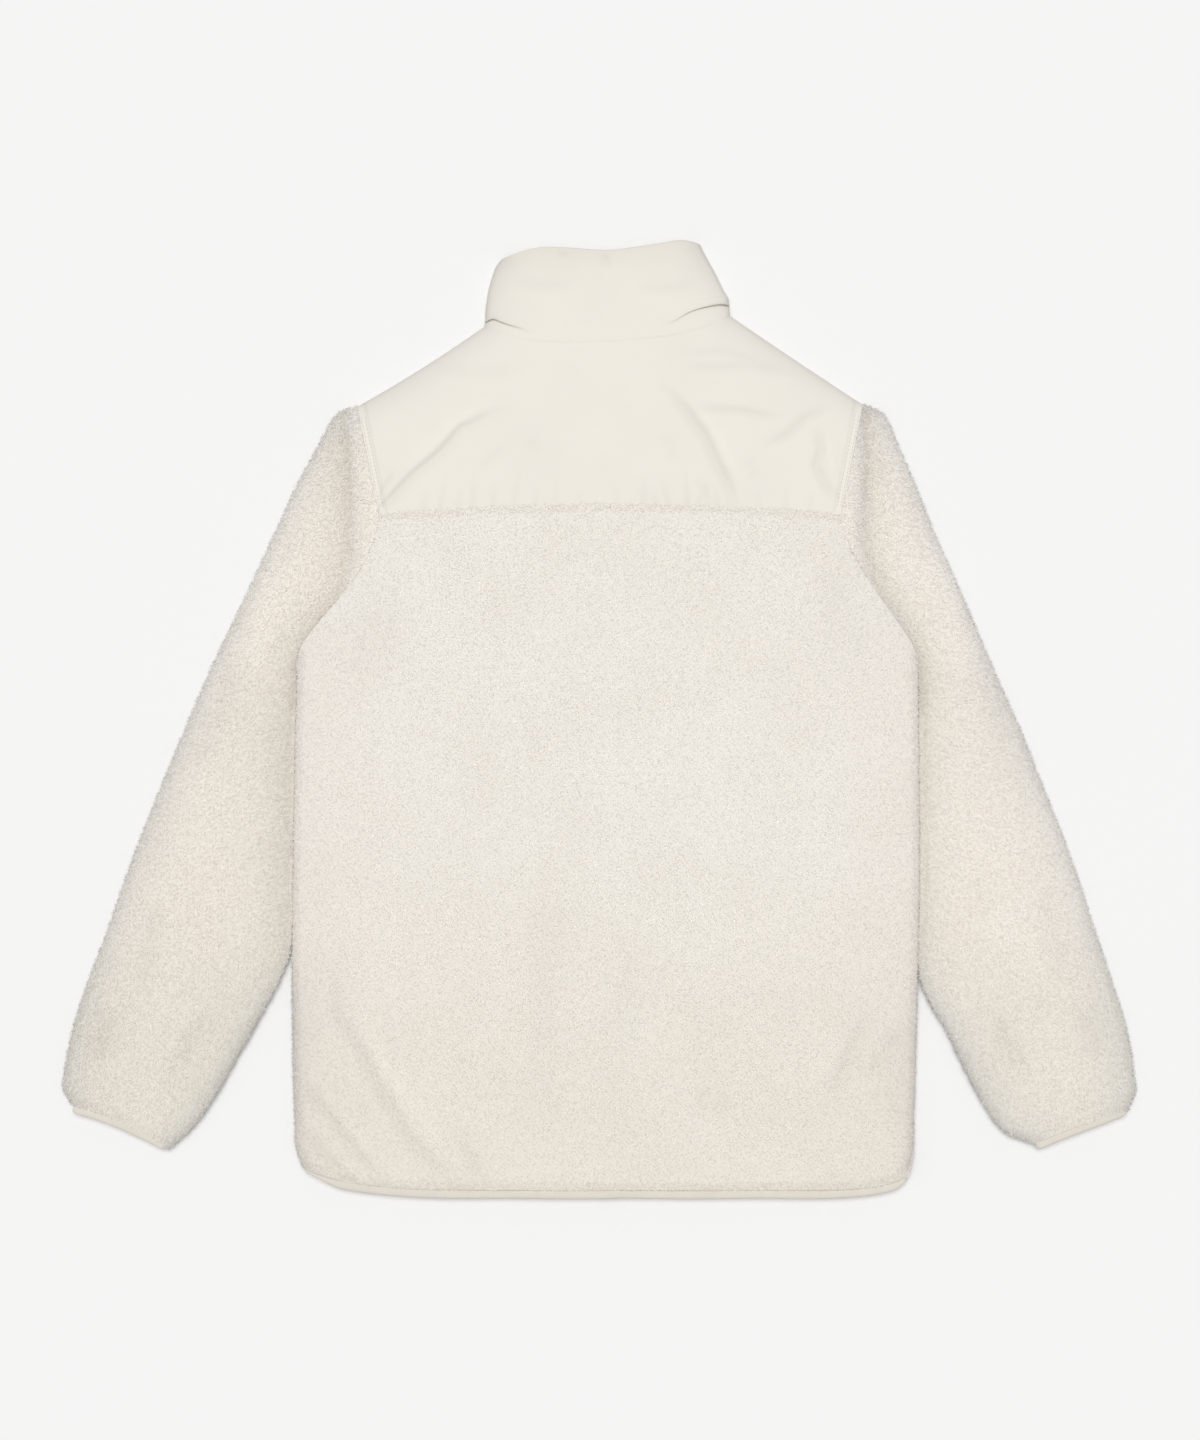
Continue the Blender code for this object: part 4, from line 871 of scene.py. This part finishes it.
FRONT_STEP = 7
FRONT_COLUMNS = 38
SHOULDER_CLEAR = 5
front_low = lower_plan(FRONT_STEP, FRONT_COLUMNS)
front_plan = np.concatenate([front_low, upper_plan(front_low[-1], True, FRONT_COLUMNS, FRONT_STEP)[1:]])
front_fold = distance(front_plan, folded_edges())
front_z = MIDDLE - (MIDDLE - UNDER_PILE) * roll(front_fold, EDGE, EDGE_FULLNESS)
middle_column = front_plan.shape[1] // 2


def off_shoulders(points):
    """No pile sticks out past the yoke's clean edge."""
    return distance(points[..., :2], both(shoulder_line)) > SHOULDER_CLEAR


for name, columns, side, seed in (
    ("front_left", slice(None, middle_column + 1), -1, 21),
    ("front_right", slice(middle_column, None), 1, 22),
):
    points = with_height(front_plan, front_z)[:, columns].copy()
    away = np.maximum(side * (points[..., 0] - CENTRE_X), 0)
    points[..., 0] = CENTRE_X + side * (away + ZIP_GAP_HALF * np.clip(1 - away / ZIP_GAP_FADE, 0, 1))
    sheet = Sheet(points, False, True, body_painted_shade(points[..., :2], 0.5))
    front = shell(name.replace("front", "front_fleece"), sheet, fleece_ground)
    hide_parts(name)
    pile = tufts(name.replace("front", "front_pile"), sheet, UNDER_PILE_KIND, fleece, seed, 0.05, off_shoulders)


# Yoke

YOKE_FOLD_PAINTED_SHADE = 0.032
GATHER_SHARE = 2.5  # a gather is narrow, and gets more painted shade for its depth than a fold
YOKE_STEP = 2.4
YOKE_LAP = 1.6  # its lower edge is sewn under the fleece's pile
YOKE_LAP_DROP = 0.6
YOKE_COLUMNS = 86
yoke_plan = upper_plan(body_row(ARMHOLE[-1].y, YOKE_COLUMNS), False, YOKE_COLUMNS, YOKE_STEP)
climb = np.linspace(0, 1, len(yoke_plan))[:, None]
gathers = np.zeros(yoke_plan.shape[:2])
yoke_rise = yoke_plan[..., 1] - yoke_plan[:1, :, 1]
for gather in YOKE_GATHERS:
    centre = gather.x + (gather.top_x - gather.x) * yoke_rise / gather.height
    fade = 1 - smoothstep(yoke_rise / gather.height)
    gathers += fade * groove(yoke_plan[..., 0] - centre, GATHER_WIDTH, gather.depth)
yoke_side = distance(yoke_plan, both(armhole_line))
band = smoothstep((YOKE_BAND_WIDTH - yoke_side) / BAND_SLOPE)
band_foot = groove(yoke_side - YOKE_BAND_WIDTH - BAND_SLOPE / 2, BAND_FOOT_WIDTH, 1)
yoke_top = (
    YOKE_TOP_AT_SEAM + climb * (YOKE_TOP_AT_NECK - YOKE_TOP_AT_SEAM) - trough(YOKE_FOLDS, yoke_plan)
    + waves(yoke_plan, 5, 90, 0.22) - gathers + YOKE_BAND_HEIGHT * band
)
# Painted shade on the yoke: along the shoulder lines, in the folds and gathers and at the band's foot, and painted
# highlight on the raised band
yoke_shade = painted_shade(distance(yoke_plan, both(shoulder_line)), WOVEN_RIM)
yoke_fold_shade = YOKE_FOLD_PAINTED_SHADE * (trough(YOKE_FOLDS, yoke_plan) + GATHER_SHARE * gathers) + BAND_FOOT_PAINTED_SHADE * band_foot
yoke_shade += yoke_fold_shade[..., None]
yoke_shade -= (BAND_PAINTED_HIGHLIGHT * band)[..., None]
yoke_z = MIDDLE + (yoke_top - MIDDLE) * roll(distance(yoke_plan, folded_edges()), EDGE)
yoke_plan[0, :, 1] -= YOKE_LAP
yoke_z[0] -= YOKE_LAP_DROP
yoke_sheet = Sheet(with_height(yoke_plan, yoke_z), False, False, 1 - yoke_shade)
yoke = shell("yoke_shell", yoke_sheet, woven)
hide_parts("back_yoke")


# Sleeves

def cuff_line(is_left, share):
    """Points on the sleeve's end, seen from above."""
    start, end = np.array(CUFF[is_left])
    rise = bow(share, CUFF_BOW[is_left], 2)
    return start + share[:, None] * (end - start) + rise[:, None] * (0, 1)


def sleeve_lines(is_left, count=41):
    """Lines across the sleeve seen from above, from the armhole to the cuff."""
    outward = -1 if is_left else 1
    seam = armhole_line(is_left)
    share = np.linspace(0, 1, count)
    seam = at_distance(seam, share * line_length(seam))
    bulge = seam - (seam[0] + share[:, None] * (seam[-1] - seam[0]))
    lean = share**2 * (1 - share) * LEAN_SCALE
    lines = [seam]
    for ring in SLEEVE_RINGS:
        start = np.array((edge_at(SLEEVE_OUTER, ring.outer_y, is_left), ring.outer_y))
        beside = edge_at(BODY_SIDES, ring.inner_y, is_left) + outward * CREASE_GAP
        reach = edge_at(SLEEVE_INNER, ring.inner_y, is_left)
        end = np.array((outward * max(outward * reach, outward * beside), ring.inner_y))
        line = start + share[:, None] * (end - start) + ring.curve * bulge
        line[:, 0] += outward * ring.lean * lean
        lines.append(line)
    hang = CUFF_HANG * np.exp(-(1 - share if is_left else share) / CUFF_HANG_REACH)
    return np.array(lines + [cuff_line(is_left, share) - hang[:, None] * (0, 1)])


SLEEVE_STEP = 4.6
SLEEVE_COLUMNS = 34
HEAD_SWELL = 2.2  # the sleeve's head rises over a straight line from the shoulder
HEAD_REACH = 0.12
BESIDE_FROM = -261  # the sleeve lies beside the body's side from this height up to the next
BESIDE_TO = 70
SIDE_SOFT = 6  # the painted shade beside the body eases over this width, as right at the body's side the gap itself is dark enough
# Painted light and shade on each sleeve as a whole, for how the light falls on it; below 0 paints it paler
SLEEVE_PAINTED_SHADE = (np.array((-0.025, -0.015, -0.01)), np.array((-0.012, 0, 0.012)))
# Painted light: the sleeves' upper parts are painted paler
UPPER_PAINTED_LIGHT = 0.032
SLEEVE_LOW_PAINTED_SHADE = np.array((0.052, 0.048, 0.058))  # painted shade: the lower half loses this much more
LOW_FROM = -150
LOW_FADE = 120


# Painted shade on a sleeve: at its rims, beside the body, at the armhole's crease, towards its lower end and in its
# folds, with painted light on its upper part
def sleeve_painted_shade(plan, is_left, off_outer, off_inner, off_crease, beyond):
    y = plan[..., 1]
    beside = smoothstep((y - BESIDE_FROM) / 100)[..., None]
    below = smoothstep((BESIDE_TO - y) / 60)[..., None]
    sleeve_side = painted_shade(off_inner, BESIDE[is_left])
    sleeve_side *= (0.4 + 0.6 * smoothstep(off_inner / SIDE_SOFT))[..., None]
    outer, inner = painted_shade(off_crease, ARMHOLE_OUTER[is_left]), painted_shade(off_crease, ARMHOLE_INNER[is_left])
    fold = np.where(beyond[..., None], outer, inner)
    free = painted_shade(off_inner, FLEECE_RIM) * (1 - beside)
    low = SLEEVE_LOW_PAINTED_SHADE * smoothstep((LOW_FROM - y) / LOW_FADE)[..., None]
    low = low + SLEEVE_PAINTED_SHADE[is_left] - UPPER_PAINTED_LIGHT * smoothstep(y / LOW_FADE)[..., None]
    shade = painted_shade(off_outer, SLEEVE_RIM) + free + np.maximum(sleeve_side * beside * below, fold)
    return 1 - low - shade - FOLD_PAINTED_SHADE * trough(SLEEVE_FOLDS, plan)[..., None]


def sleeve_sheet(is_left):
    lines = sleeve_lines(is_left)
    outward = -1 if is_left else 1
    gaps = np.linalg.norm(np.diff(lines, axis=0), axis=2).mean(axis=1)
    gone = np.concatenate([[0], np.cumsum(gaps)])
    places = spaced(0, gone[-1], SLEEVE_STEP)
    fine = curve(places, gone, lines)
    swell = np.sin(math.pi * np.clip(places / gone[2], 0, 1))
    reach = np.exp(-np.linspace(0, 1, fine.shape[1]) / HEAD_REACH)
    fine += HEAD_SWELL * swell[:, None, None] * reach[None, :, None] * (0.6 * outward, 0.8)
    outer_edge, inner_edge = fine[:, 0], fine[:, -1]
    turn = EDGE * np.array(FOLD_STEPS[::-1])
    rows = []
    for line in fine:
        length = line_length(line)
        flat = EDGE + np.linspace(0, 1, SLEEVE_COLUMNS)[1:-1] * (length - 2 * EDGE)
        rows.append(at_distance(line, np.concatenate([turn, flat, (length - turn)[::-1]])))
    plan = np.array(rows)
    off_outer, off_inner = distance(plan, [outer_edge]), distance(plan, [inner_edge])
    off_seam = distance(plan, [armhole_line(is_left)])
    share = roll(np.minimum(off_outer, off_inner), EDGE, EDGE_FULLNESS)

    off, passed, side = along_line(plan, LEFT_CREASE if is_left else RIGHT_CREASE)
    beyond = side * outward > 0
    width = np.where(beyond, CREASE_FAR, CREASE_NEAR)
    crease = CREASE_DEPTH * smoothstep(passed * 4) * np.exp(-((off / width) ** 2))
    near_body = smoothstep((plan[..., 1] - BESIDE_FROM + 10) / 120)
    drop = SIDE_DROP[is_left] * (1 - smoothstep(off_inner / SIDE_SLOPE))
    slope = np.maximum(crease, drop * near_body)
    top = (
        SLEEVE_TOP - PILE - trough(SLEEVE_FOLDS, plan) + waves(plan, 7 if is_left else 8, 110, 0.4)
        - slope - groove(off_seam, 3.5, 0.2)
    )
    soft_share = roll(np.minimum(off_outer, off_inner), SOFT_EDGE, EDGE_FULLNESS)
    over = with_height(plan, MIDDLE + (top - MIDDLE) * soft_share)
    under = with_height(plan, MIDDLE - (MIDDLE - UNDER_PILE) * share)
    ring = np.concatenate([over, under[:, -2:0:-1]], axis=1)
    tone = sleeve_painted_shade(plan, is_left, off_outer, off_inner, off, beyond)
    return Sheet(ring, True, is_left, np.concatenate([tone, tone[:, -2:0:-1]], axis=1)), plan


for side, is_left, seed in (("left", True, 31), ("right", False, 35)):
    sheet, plan = sleeve_sheet(is_left)
    sleeve = shell("sleeve_fleece_" + side, sheet, fleece_ground)
    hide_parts("sleeve_" + side)
    columns = plan.shape[1]
    points = sheet.points
    over = Sheet(points[:, :columns], False, sheet.flip, sheet.tone[:, :columns])
    under_points, under_painted_shade = (
        np.concatenate([grid[:, columns - 1:], grid[:, :1]], axis=1) for grid in (points, sheet.tone)
    )
    under = Sheet(under_points, False, sheet.flip, under_painted_shade)
    pile = [
        tufts("sleeve_pile_over_" + side, over, SLEEVE_PILE, fleece, seed),
        tufts("sleeve_pile_under_" + side, under, UNDER_PILE_KIND, fleece, seed + 1, 0.05),
        hairs("sleeve_fibres_" + side, over, 1.5, 4, fleece, seed + 2,
              fuzz_weight([plan[:, 0], plan[:, -1], plan[-1]], 6, 0.45), 0.40, 0.08),
    ]


# Collar

def strip_columns(left_x, right_x, radius, front_left, back, front_right):
    """x, inner x, distance in from the fold and layer of each column of a strip that goes round the back."""
    turn = np.array(FOLD_STEPS[::-1]) * radius
    folded = list(zip(turn, radius - HALF_GAP * (1 - turn / radius)))
    columns = [(x, x, radius, -1) for x in front_left]
    columns += [(left_x + t, left_x + i, t, -1) for t, i in folded[:0:-1]]
    columns += [(left_x + t, left_x + i, t, 1) for t, i in folded]
    columns += [(x, x, radius, 1) for x in back]
    columns += [(right_x - t, right_x - i, t, 1) for t, i in folded[::-1]]
    columns += [(right_x - t, right_x - i, t, -1) for t, i in folded[1:]]
    columns += [(x, x, radius, -1) for x in front_right]
    return np.array(columns).T


def collar_y(row, x, is_back, neck):
    share = np.clip((x - row.left_x) / (row.right_x - row.left_x), 0, 1)
    straight = row.left_y + share * (row.right_y - row.left_y)
    power = neck * BACK_NECK_POWER + (1 - neck) * COLLAR_TOP_POWER
    return straight + np.where(is_back, bow(share, row.back_bow, power), bow(share, row.front_bow, FRONT_NECK_POWER))


def collar_grids():
    last = len(COLLAR_ROWS) - 1
    index = np.linspace(0, last, last * COLLAR_STEPS + 1)
    outer_rows, inner_rows, tuck_shade_rows = [], [], []
    for place, values in zip(index, curve(index, np.arange(last + 1), COLLAR_ROWS)):
        row = CollarRow(*values)
        flat_left, flat_right = row.left_x + COLLAR_EDGE, row.right_x - COLLAR_EDGE
        x, inner_x, inside, layer = strip_columns(
            row.left_x, row.right_x, COLLAR_EDGE,
            np.linspace(ZIP_LEFT, flat_left, COLLAR_FRONT_COLUMNS)[:-1],
            np.linspace(flat_left, flat_right, COLLAR_BACK_COLUMNS)[1:-1],
            np.linspace(flat_right, ZIP_RIGHT, COLLAR_FRONT_COLUMNS)[1:],
        )
        neck = 1 - place / last
        is_back = layer > 0
        middle = MIDDLE + row.settle * (COLLAR_MIDDLE - MIDDLE)
        top = YOKE_TOP_AT_NECK + row.settle * (COLLAR_TOP - YOKE_TOP_AT_NECK)
        side = np.minimum((x - row.left_x) / BULGE_REACH_LEFT, (row.right_x - x) / BULGE_REACH_RIGHT)
        weight = (1 - smoothstep(side)) * is_back
        over = (top + row.bulge * weight - middle) * roll(inside, COLLAR_EDGE)
        z = np.where(is_back, middle + over, middle - middle * roll(inside, COLLAR_EDGE))
        rise, stay, end = TUCK_ROWS
        near_tuck = smoothstep(place / rise) * (1 - smoothstep((place - stay) / (end - stay))) * is_back
        top_share = smoothstep((place - TOP_ROWS[0]) / TOP_ROWS[1]) * is_back
        under_yoke = np.clip(1 - 2 * place, 0, 1) * is_back
        y = collar_y(row, x, is_back, neck) - TUCK_DROP * row.tuck * weight - COLLAR_LAP * under_yoke
        y += near_tuck * curve(x, *np.transpose(TUCK_LINE)) + top_share * curve(x, *np.transpose(COLLAR_TOP_LINE))
        z -= COLLAR_LAP_DROP * under_yoke
        # Painted shade under the tuck's lip
        tuck_place = groove(place - TUCK_ROW, TUCK_WIDTH, 1) * weight
        tuck_shade_rows.append((TUCK_PAINTED_SHADE + TUCK_END_PAINTED_SHADE * np.exp(-(row.right_x - x) / TUCK_END)) * tuck_place)
        inner_y = collar_y(row, inner_x, is_back, neck) + top_share * curve(inner_x, *np.transpose(COLLAR_TOP_LINE))
        inner_z = middle + layer * HALF_GAP * roll(inside, COLLAR_EDGE)
        outer = np.stack([x, y, z], axis=1)
        outer[:, 2] += np.where(is_back, waves(outer[:, :2], 9, 60, 0.15) - trough(COLLAR_FOLDS, outer[:, :2]), 0)
        outer_rows.append(outer)
        inner_rows.append(np.stack([inner_x, inner_y, inner_z], axis=1))
    return np.array(outer_rows), np.array(inner_rows), np.array(tuck_shade_rows)


def closed_wall(name, outer, inner, material, tone):
    """A wall between an outer and an inner grid, with its rims."""
    rows, columns = outer.shape[:2]
    count = rows * columns
    faces = [grid_faces(rows, columns), grid_faces(rows, columns, flip=True, start=count)]
    bottom = list(range(columns))
    top = [(rows - 1) * columns + c for c in range(columns)]
    right = [r * columns + columns - 1 for r in range(rows)]
    left = [r * columns for r in range(rows)]
    loop = bottom + right[1:] + top[::-1][1:] + left[::-1][1:]
    faces.append(np.array([(b, a, a + count, b + count) for a, b in zip(loop, loop[1:])]))
    points = np.concatenate([outer.reshape(-1, 3), inner.reshape(-1, 3)])
    tone = np.concatenate([tone.reshape(-1, 3)] * 2)
    return new_piece(name, points, np.concatenate(faces), material, tone=tone)


# Painted shade on the collar's back layer: at its sides and top, under the tuck and in its folds
def collar_painted_shade(outer, tuck):
    plan = outer[..., :2]
    left = np.array([(row.left_x, row.left_y) for row in COLLAR_ROWS])
    right = np.array([(row.right_x, row.right_y) for row in COLLAR_ROWS])
    back = outer[..., 2] > COLLAR_MIDDLE
    top = outer[-1][outer[-1, :, 2] > COLLAR_MIDDLE, :2]
    shade = painted_shade(distance(plan, [left, right]), WOVEN_RIM) + painted_shade(distance(plan, [top]), COLLAR_TOP_RIM)
    shade += tuck[..., None] * CREASE_TINT + FOLD_PAINTED_SHADE * trough(COLLAR_FOLDS, plan)[..., None]
    return np.clip(1 - shade * back[..., None], 0.1, 1)


collar_outer, collar_inner, collar_tuck_shade = collar_grids()
collar = closed_wall("collar_shell", collar_outer, collar_inner, woven,
                     collar_painted_shade(collar_outer, collar_tuck_shade))
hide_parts("collar")


# Bindings: a strip folded round the edge, open where it is sewn under the pile

def binding_profile(width):
    """Places across a binding: how far down, and half its height there as a share. It crowns in its middle."""
    crown = [(step * width, 1 - 0.22 * abs(2 * step - 1) ** 4) for step in np.linspace(0, 1, 9)]
    return [(-BINDING_LAP, 0.86), *crown, (width + 0.15, 0.62)]


def hem_binding():
    hem = body_row(BODY_SIDES[0].y, BACK_COLUMNS)
    left_x, right_x = hem[0, 0] + BINDING_INSET, hem[-1, 0] - BINDING_INSET
    flat = hem[:, 0]
    flat = flat[(flat > left_x + BINDING_EDGE + 1) & (flat < right_x - BINDING_EDGE - 1)]
    x, inner_x, inside, layer = strip_columns(
        left_x, right_x, BINDING_EDGE,
        np.append(ZIP_LEFT, flat[flat < ZIP_LEFT - 1][::-1]), flat,
        np.append(flat[flat > ZIP_RIGHT + 1][::-1], ZIP_RIGHT),
    )
    share = roll(inside, BINDING_EDGE)
    rows = []

    def end_width(at):
        left = END_WIDTH_LEFT + (1 - END_WIDTH_LEFT) * smoothstep((at - left_x) / END_REACH_LEFT)
        return left * (END_WIDTH_RIGHT + (1 - END_WIDTH_RIGHT) * smoothstep((right_x - at) / END_REACH_RIGHT))

    for down, half in binding_profile(HEM_BINDING_WIDTH):
        y = np.interp(x, hem[:, 0], hem[:, 1]) - down * end_width(x)
        y += HEM_WAVE * np.sin(x / HEM_WAVE_LENGTH) * (down > 0)
        rows.append(np.stack([x, y, MIDDLE + layer * BINDING_HALF * half * share], axis=1))
    for down in (HEM_BINDING_WIDTH, -BINDING_LAP):
        y = np.interp(inner_x, hem[:, 0], hem[:, 1]) - down * end_width(inner_x)
        rows.append(np.stack([inner_x, y, MIDDLE + layer * HALF_GAP * share], axis=1))
    return np.array(rows)[::-1]


def cuff_binding(is_left):
    edge = cuff_line(is_left, np.linspace(0, 1, CUFF_POINTS))
    along = unit(edge[-1] - edge[0])
    down = np.array((along[1], -along[0])) if is_left else np.array((-along[1], along[0]))
    turn = BINDING_EDGE * np.array(FOLD_STEPS[::-1])
    rows = []
    profile = [(step, half, 1) for step, half in binding_profile(CUFF_BINDING_WIDTH)]
    profile += [(CUFF_BINDING_WIDTH, HALF_GAP / BINDING_HALF, 0), (-BINDING_LAP, HALF_GAP / BINDING_HALF, 0)]
    for step, half, is_outer in profile:
        inset = BINDING_INSET + (0 if is_outer else BINDING_HALF - HALF_GAP)
        line = at_distance(edge, np.linspace(inset, line_length(edge) - inset, CUFF_POINTS))
        length = line_length(line)
        flat = BINDING_EDGE + np.linspace(0, 1, CUFF_COLUMNS)[1:-1] * (length - 2 * BINDING_EDGE)
        places = np.concatenate([turn, flat, (length - turn)[::-1]])
        from_end = np.minimum(places, length - places)
        from_narrow = length - places if is_left else places
        width = CUFF_END + (1 - CUFF_END) * roll(from_end, CUFF_ROUND)
        width *= CUFF_NARROW + (1 - CUFF_NARROW) * smoothstep(from_narrow / CUFF_NARROW_REACH)
        plan = at_distance(line, places) + down * (step * width)[:, None]
        share = roll(from_end, BINDING_EDGE)
        over = with_height(plan, MIDDLE + BINDING_HALF * half * share)
        under = with_height(plan, MIDDLE - BINDING_HALF * half * share)
        rows.append(np.concatenate([over, under[-2:0:-1]]))
    return np.array(rows)


hem_rows = hem_binding()
hem = shell("hem_tape", Sheet(hem_rows, False, False), hem_cloth)
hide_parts("hem_binding")
for side, is_left, cloth in (("left", True, cuff_left_cloth), ("right", False, cuff_right_cloth)):
    cuff = shell("cuff_tape_" + side, Sheet(cuff_binding(is_left), True, is_left), cloth)
    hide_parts("cuff_binding_" + side)


# Stitches

def stitches(name, lines, pitch=3.2, length=2.5, half=0.28):
    """Sewn lines as small raised stitches, all in one mesh. Each line is an array of points."""
    ring = np.array([(math.cos(a), math.sin(a)) for a in np.arange(4) * math.pi / 2])
    points, faces = [], []
    for line in lines:
        total = line_length(line)
        centres = np.arange(pitch / 2, total, pitch)
        middle = at_distance(line, centres)
        ahead = unit(at_distance(line, centres + 0.5) - at_distance(line, centres - 0.5))
        side = unit(np.cross(ahead, (0, 0, 1)))
        up = np.cross(side, ahead)
        for m, f, s, u in zip(middle, ahead, side, up):
            start = len(points)
            points.append(m - f * length / 2 - u * 0.15)
            for place in (-0.3, 0.3):
                points += [m + f * place * length + half * (r[0] * s + r[1] * u) for r in ring]
            points.append(m + f * length / 2 - u * 0.15)
            for k in range(4):
                n = (k + 1) % 4
                faces.append((start, start + 1 + k, start + 1 + n))
                faces.append((start + 1 + k, start + 5 + k, start + 5 + n, start + 1 + n))
                faces.append((start + 5 + k, start + 9, start + 5 + n))
    return new_piece(name, np.array(points), faces, thread)


def lift(sheet_points, plan_line, above):
    """Sets a plan line on a grid: the height of the nearest grid point, and a little more."""
    flat = sheet_points.reshape(-1, 3)
    heights = []
    for point in plan_line:
        near = np.argmin(((flat[:, :2] - point) ** 2).sum(axis=1) - 0.001 * flat[:, 2])
        heights.append(flat[near, 2] + above)
    return with_height(plan_line, np.array(heights))


def inset_line(line, distance_in, inward):
    """A line moved sideways towards a point."""
    tangent = unit(np.gradient(line, axis=0))
    normal = np.stack([-tangent[:, 1], tangent[:, 0]], axis=1)
    towards = np.sign(((np.array(inward) - line) * normal).sum(axis=1, keepdims=True))
    return line + distance_in * towards * normal


band_lines = []
for is_left in (True, False):
    seam = armhole_line(is_left)
    seam = seam[(seam[:, 1] > ARMHOLE[-1].y + 1) & (seam[:, 1] < SHOULDER_LEFT[1] - 5)]
    for inside in (1.4, YOKE_BAND_WIDTH - 1.2):
        plan_line = inset_line(seam, inside, (CENTRE_X, 220))
        band_lines.append(lift(yoke_sheet.points, plan_line, 0.05))
stitches("yoke_band_stitches", band_lines)

hem_seam = hem_rows[-3]  # just below the pile, counted from the binding's upper edge
fronts = np.split(hem_seam, [len(hem_seam) // 2])
hem_lines = [hem_seam[hem_seam[:, 2] > MIDDLE + 2]] + [half[half[:, 2] < MIDDLE - 2] for half in fronts]
hem_stitches = stitches("hem_stitches", hem_lines)


# Zip

ZIP_CENTRE_Z = 4.1
ZIP_RISE = 1.1
ZIP_BOTTOM_Y = -405.2
ZIP_TOP_Y = 336
ZIP_DESCENT = (260, 280)
ZIP_TAPE_HALF = 16
ZIP_STEP = 8
ZIP_TAPE_THICK = 0.8
SLIDER_Y = 321
TOOTH_PITCH = 2.6
TEETH_START = 4
TEETH_END = 8  # the first tooth lies this far above the tape's end, and the last one this far below the slider


def zip_height(y):
    start, end = ZIP_DESCENT
    return ZIP_CENTRE_Z + ZIP_RISE * (1 - (np.clip(y, start, end) - start) / (end - start))


def zip_tape(name, side):
    y = spaced(ZIP_BOTTOM_Y, ZIP_TOP_Y, ZIP_STEP)
    profile = ((ZIP_TAPE_HALF, -1), (9, -1), (3, -1), (1.2, -1.9), (0.5, -1.9), (0.35, 0), (0.5, 1.9),
               (1.2, 1.9), (3, 1), (9, 1), (ZIP_TAPE_HALF, 1))
    rows = np.array([[(CENTRE_X + side * x, place, zip_height(place) + up * ZIP_TAPE_THICK / 2)
                      for x, up in profile] for place in y])
    return shell(name, Sheet(rows, True, side < 0), zip_cloth)


def zip_teeth(name, side):
    """Teeth that reach over the middle in turn with those of the other side."""
    first = ZIP_BOTTOM_Y + TEETH_START + (0 if side < 0 else TOOTH_PITCH / 2)
    y = np.arange(first, SLIDER_Y - TEETH_END, TOOTH_PITCH)
    points, faces = [], []
    for place in y:
        start = len(points)
        z = zip_height(place)
        for level, grow in ((-1, 0.75), (-0.6, 1), (0.6, 1), (1, 0.75)):
            for x, dy in ((2.6, -0.5), (2.6, 0.5), (0.9, 0.38), (-0.3, 0.52), (-0.3, -0.52), (0.9, -0.38)):
                points.append((CENTRE_X + side * x, place + dy * grow, z + level))
        for level in range(3):
            for k in range(6):
                n = (k + 1) % 6
                a = start + 6 * level
                faces.append((a + k, a + n, a + 6 + n, a + 6 + k))
        faces.append(tuple(start + k for k in reversed(range(6))))
        faces.append(tuple(start + 18 + k for k in range(6)))
    if side < 0:
        faces = [face[::-1] for face in faces]
    return new_piece(name, np.array(points), faces, teeth_metal, smooth=False)


for side_name, side in (("left", -1), ("right", 1)):
    tape = zip_tape("zip_cloth_" + side_name, side)
    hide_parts("zip_" + side_name)
    teeth = zip_teeth("zip_teeth_" + side_name, side)

for name in ("zip_slider", "pull_tab"):
    for material_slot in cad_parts[name].material_slots:
        material_slot.material = pull_metal


# Floor, light and camera

FLOOR_SIZE = 30
FLOOR_DROP = 0.0002
CAMERA_DISTANCE = 2.6
VIEW_HEIGHT = 1.224
SENSOR = 36


def make_floor():
    paint = Paint("floor_paper", grey(0.9), 0.9)
    paint.feed("Base Color", paint.ramp(paint.noise(3, 2), grey(0.885), grey(0.888)))
    paint.inputs["Specular IOR Level"].default_value = 0.1
    half = FLOOR_SIZE / 2
    mesh = bpy.data.meshes.new("floor")
    mesh.from_pydata([(x, y, -FLOOR_DROP) for x, y in ((-half, -half), (half, -half), (half, half), (-half, half))],
                     [], [(0, 1, 2, 3)])
    mesh.materials.append(paint.material)
    floor = add_object("floor", mesh)


def make_sun(name, towards, strength, spread, colour):
    """A soft light from far off. It comes from the direction given, and spread is its width in degrees."""
    light = bpy.data.lights.new(name, "SUN")
    light.energy = strength
    light.angle = math.radians(spread)
    light.color = colour
    lamp = add_object(name, light)
    lamp.rotation_euler = Vector(towards).to_track_quat("Z", "Y").to_euler()


def make_world(strength, colour):
    world = bpy.data.worlds.new("sky")
    world.use_nodes = True
    background = world.node_tree.nodes["Background"]
    background.inputs["Color"].default_value = (*colour, 1)
    background.inputs["Strength"].default_value = strength
    bpy.context.scene.world = world


make_floor()
make_world(0.40, (0.97, 0.985, 1))
make_sun("key_light", (-0.04, 0.2, 1), 2.06, 40, (1, 0.99, 0.975))

camera_data = bpy.data.cameras.new("camera")
camera_data.sensor_width = SENSOR
camera_data.lens = SENSOR * CAMERA_DISTANCE / VIEW_HEIGHT
camera = add_object("camera", camera_data)
camera.location = (0.00027, 0.00194, CAMERA_DISTANCE + FLEECE_TOP * MM)
bpy.context.scene.camera = camera
bpy.context.scene.view_settings.view_transform = "Standard"
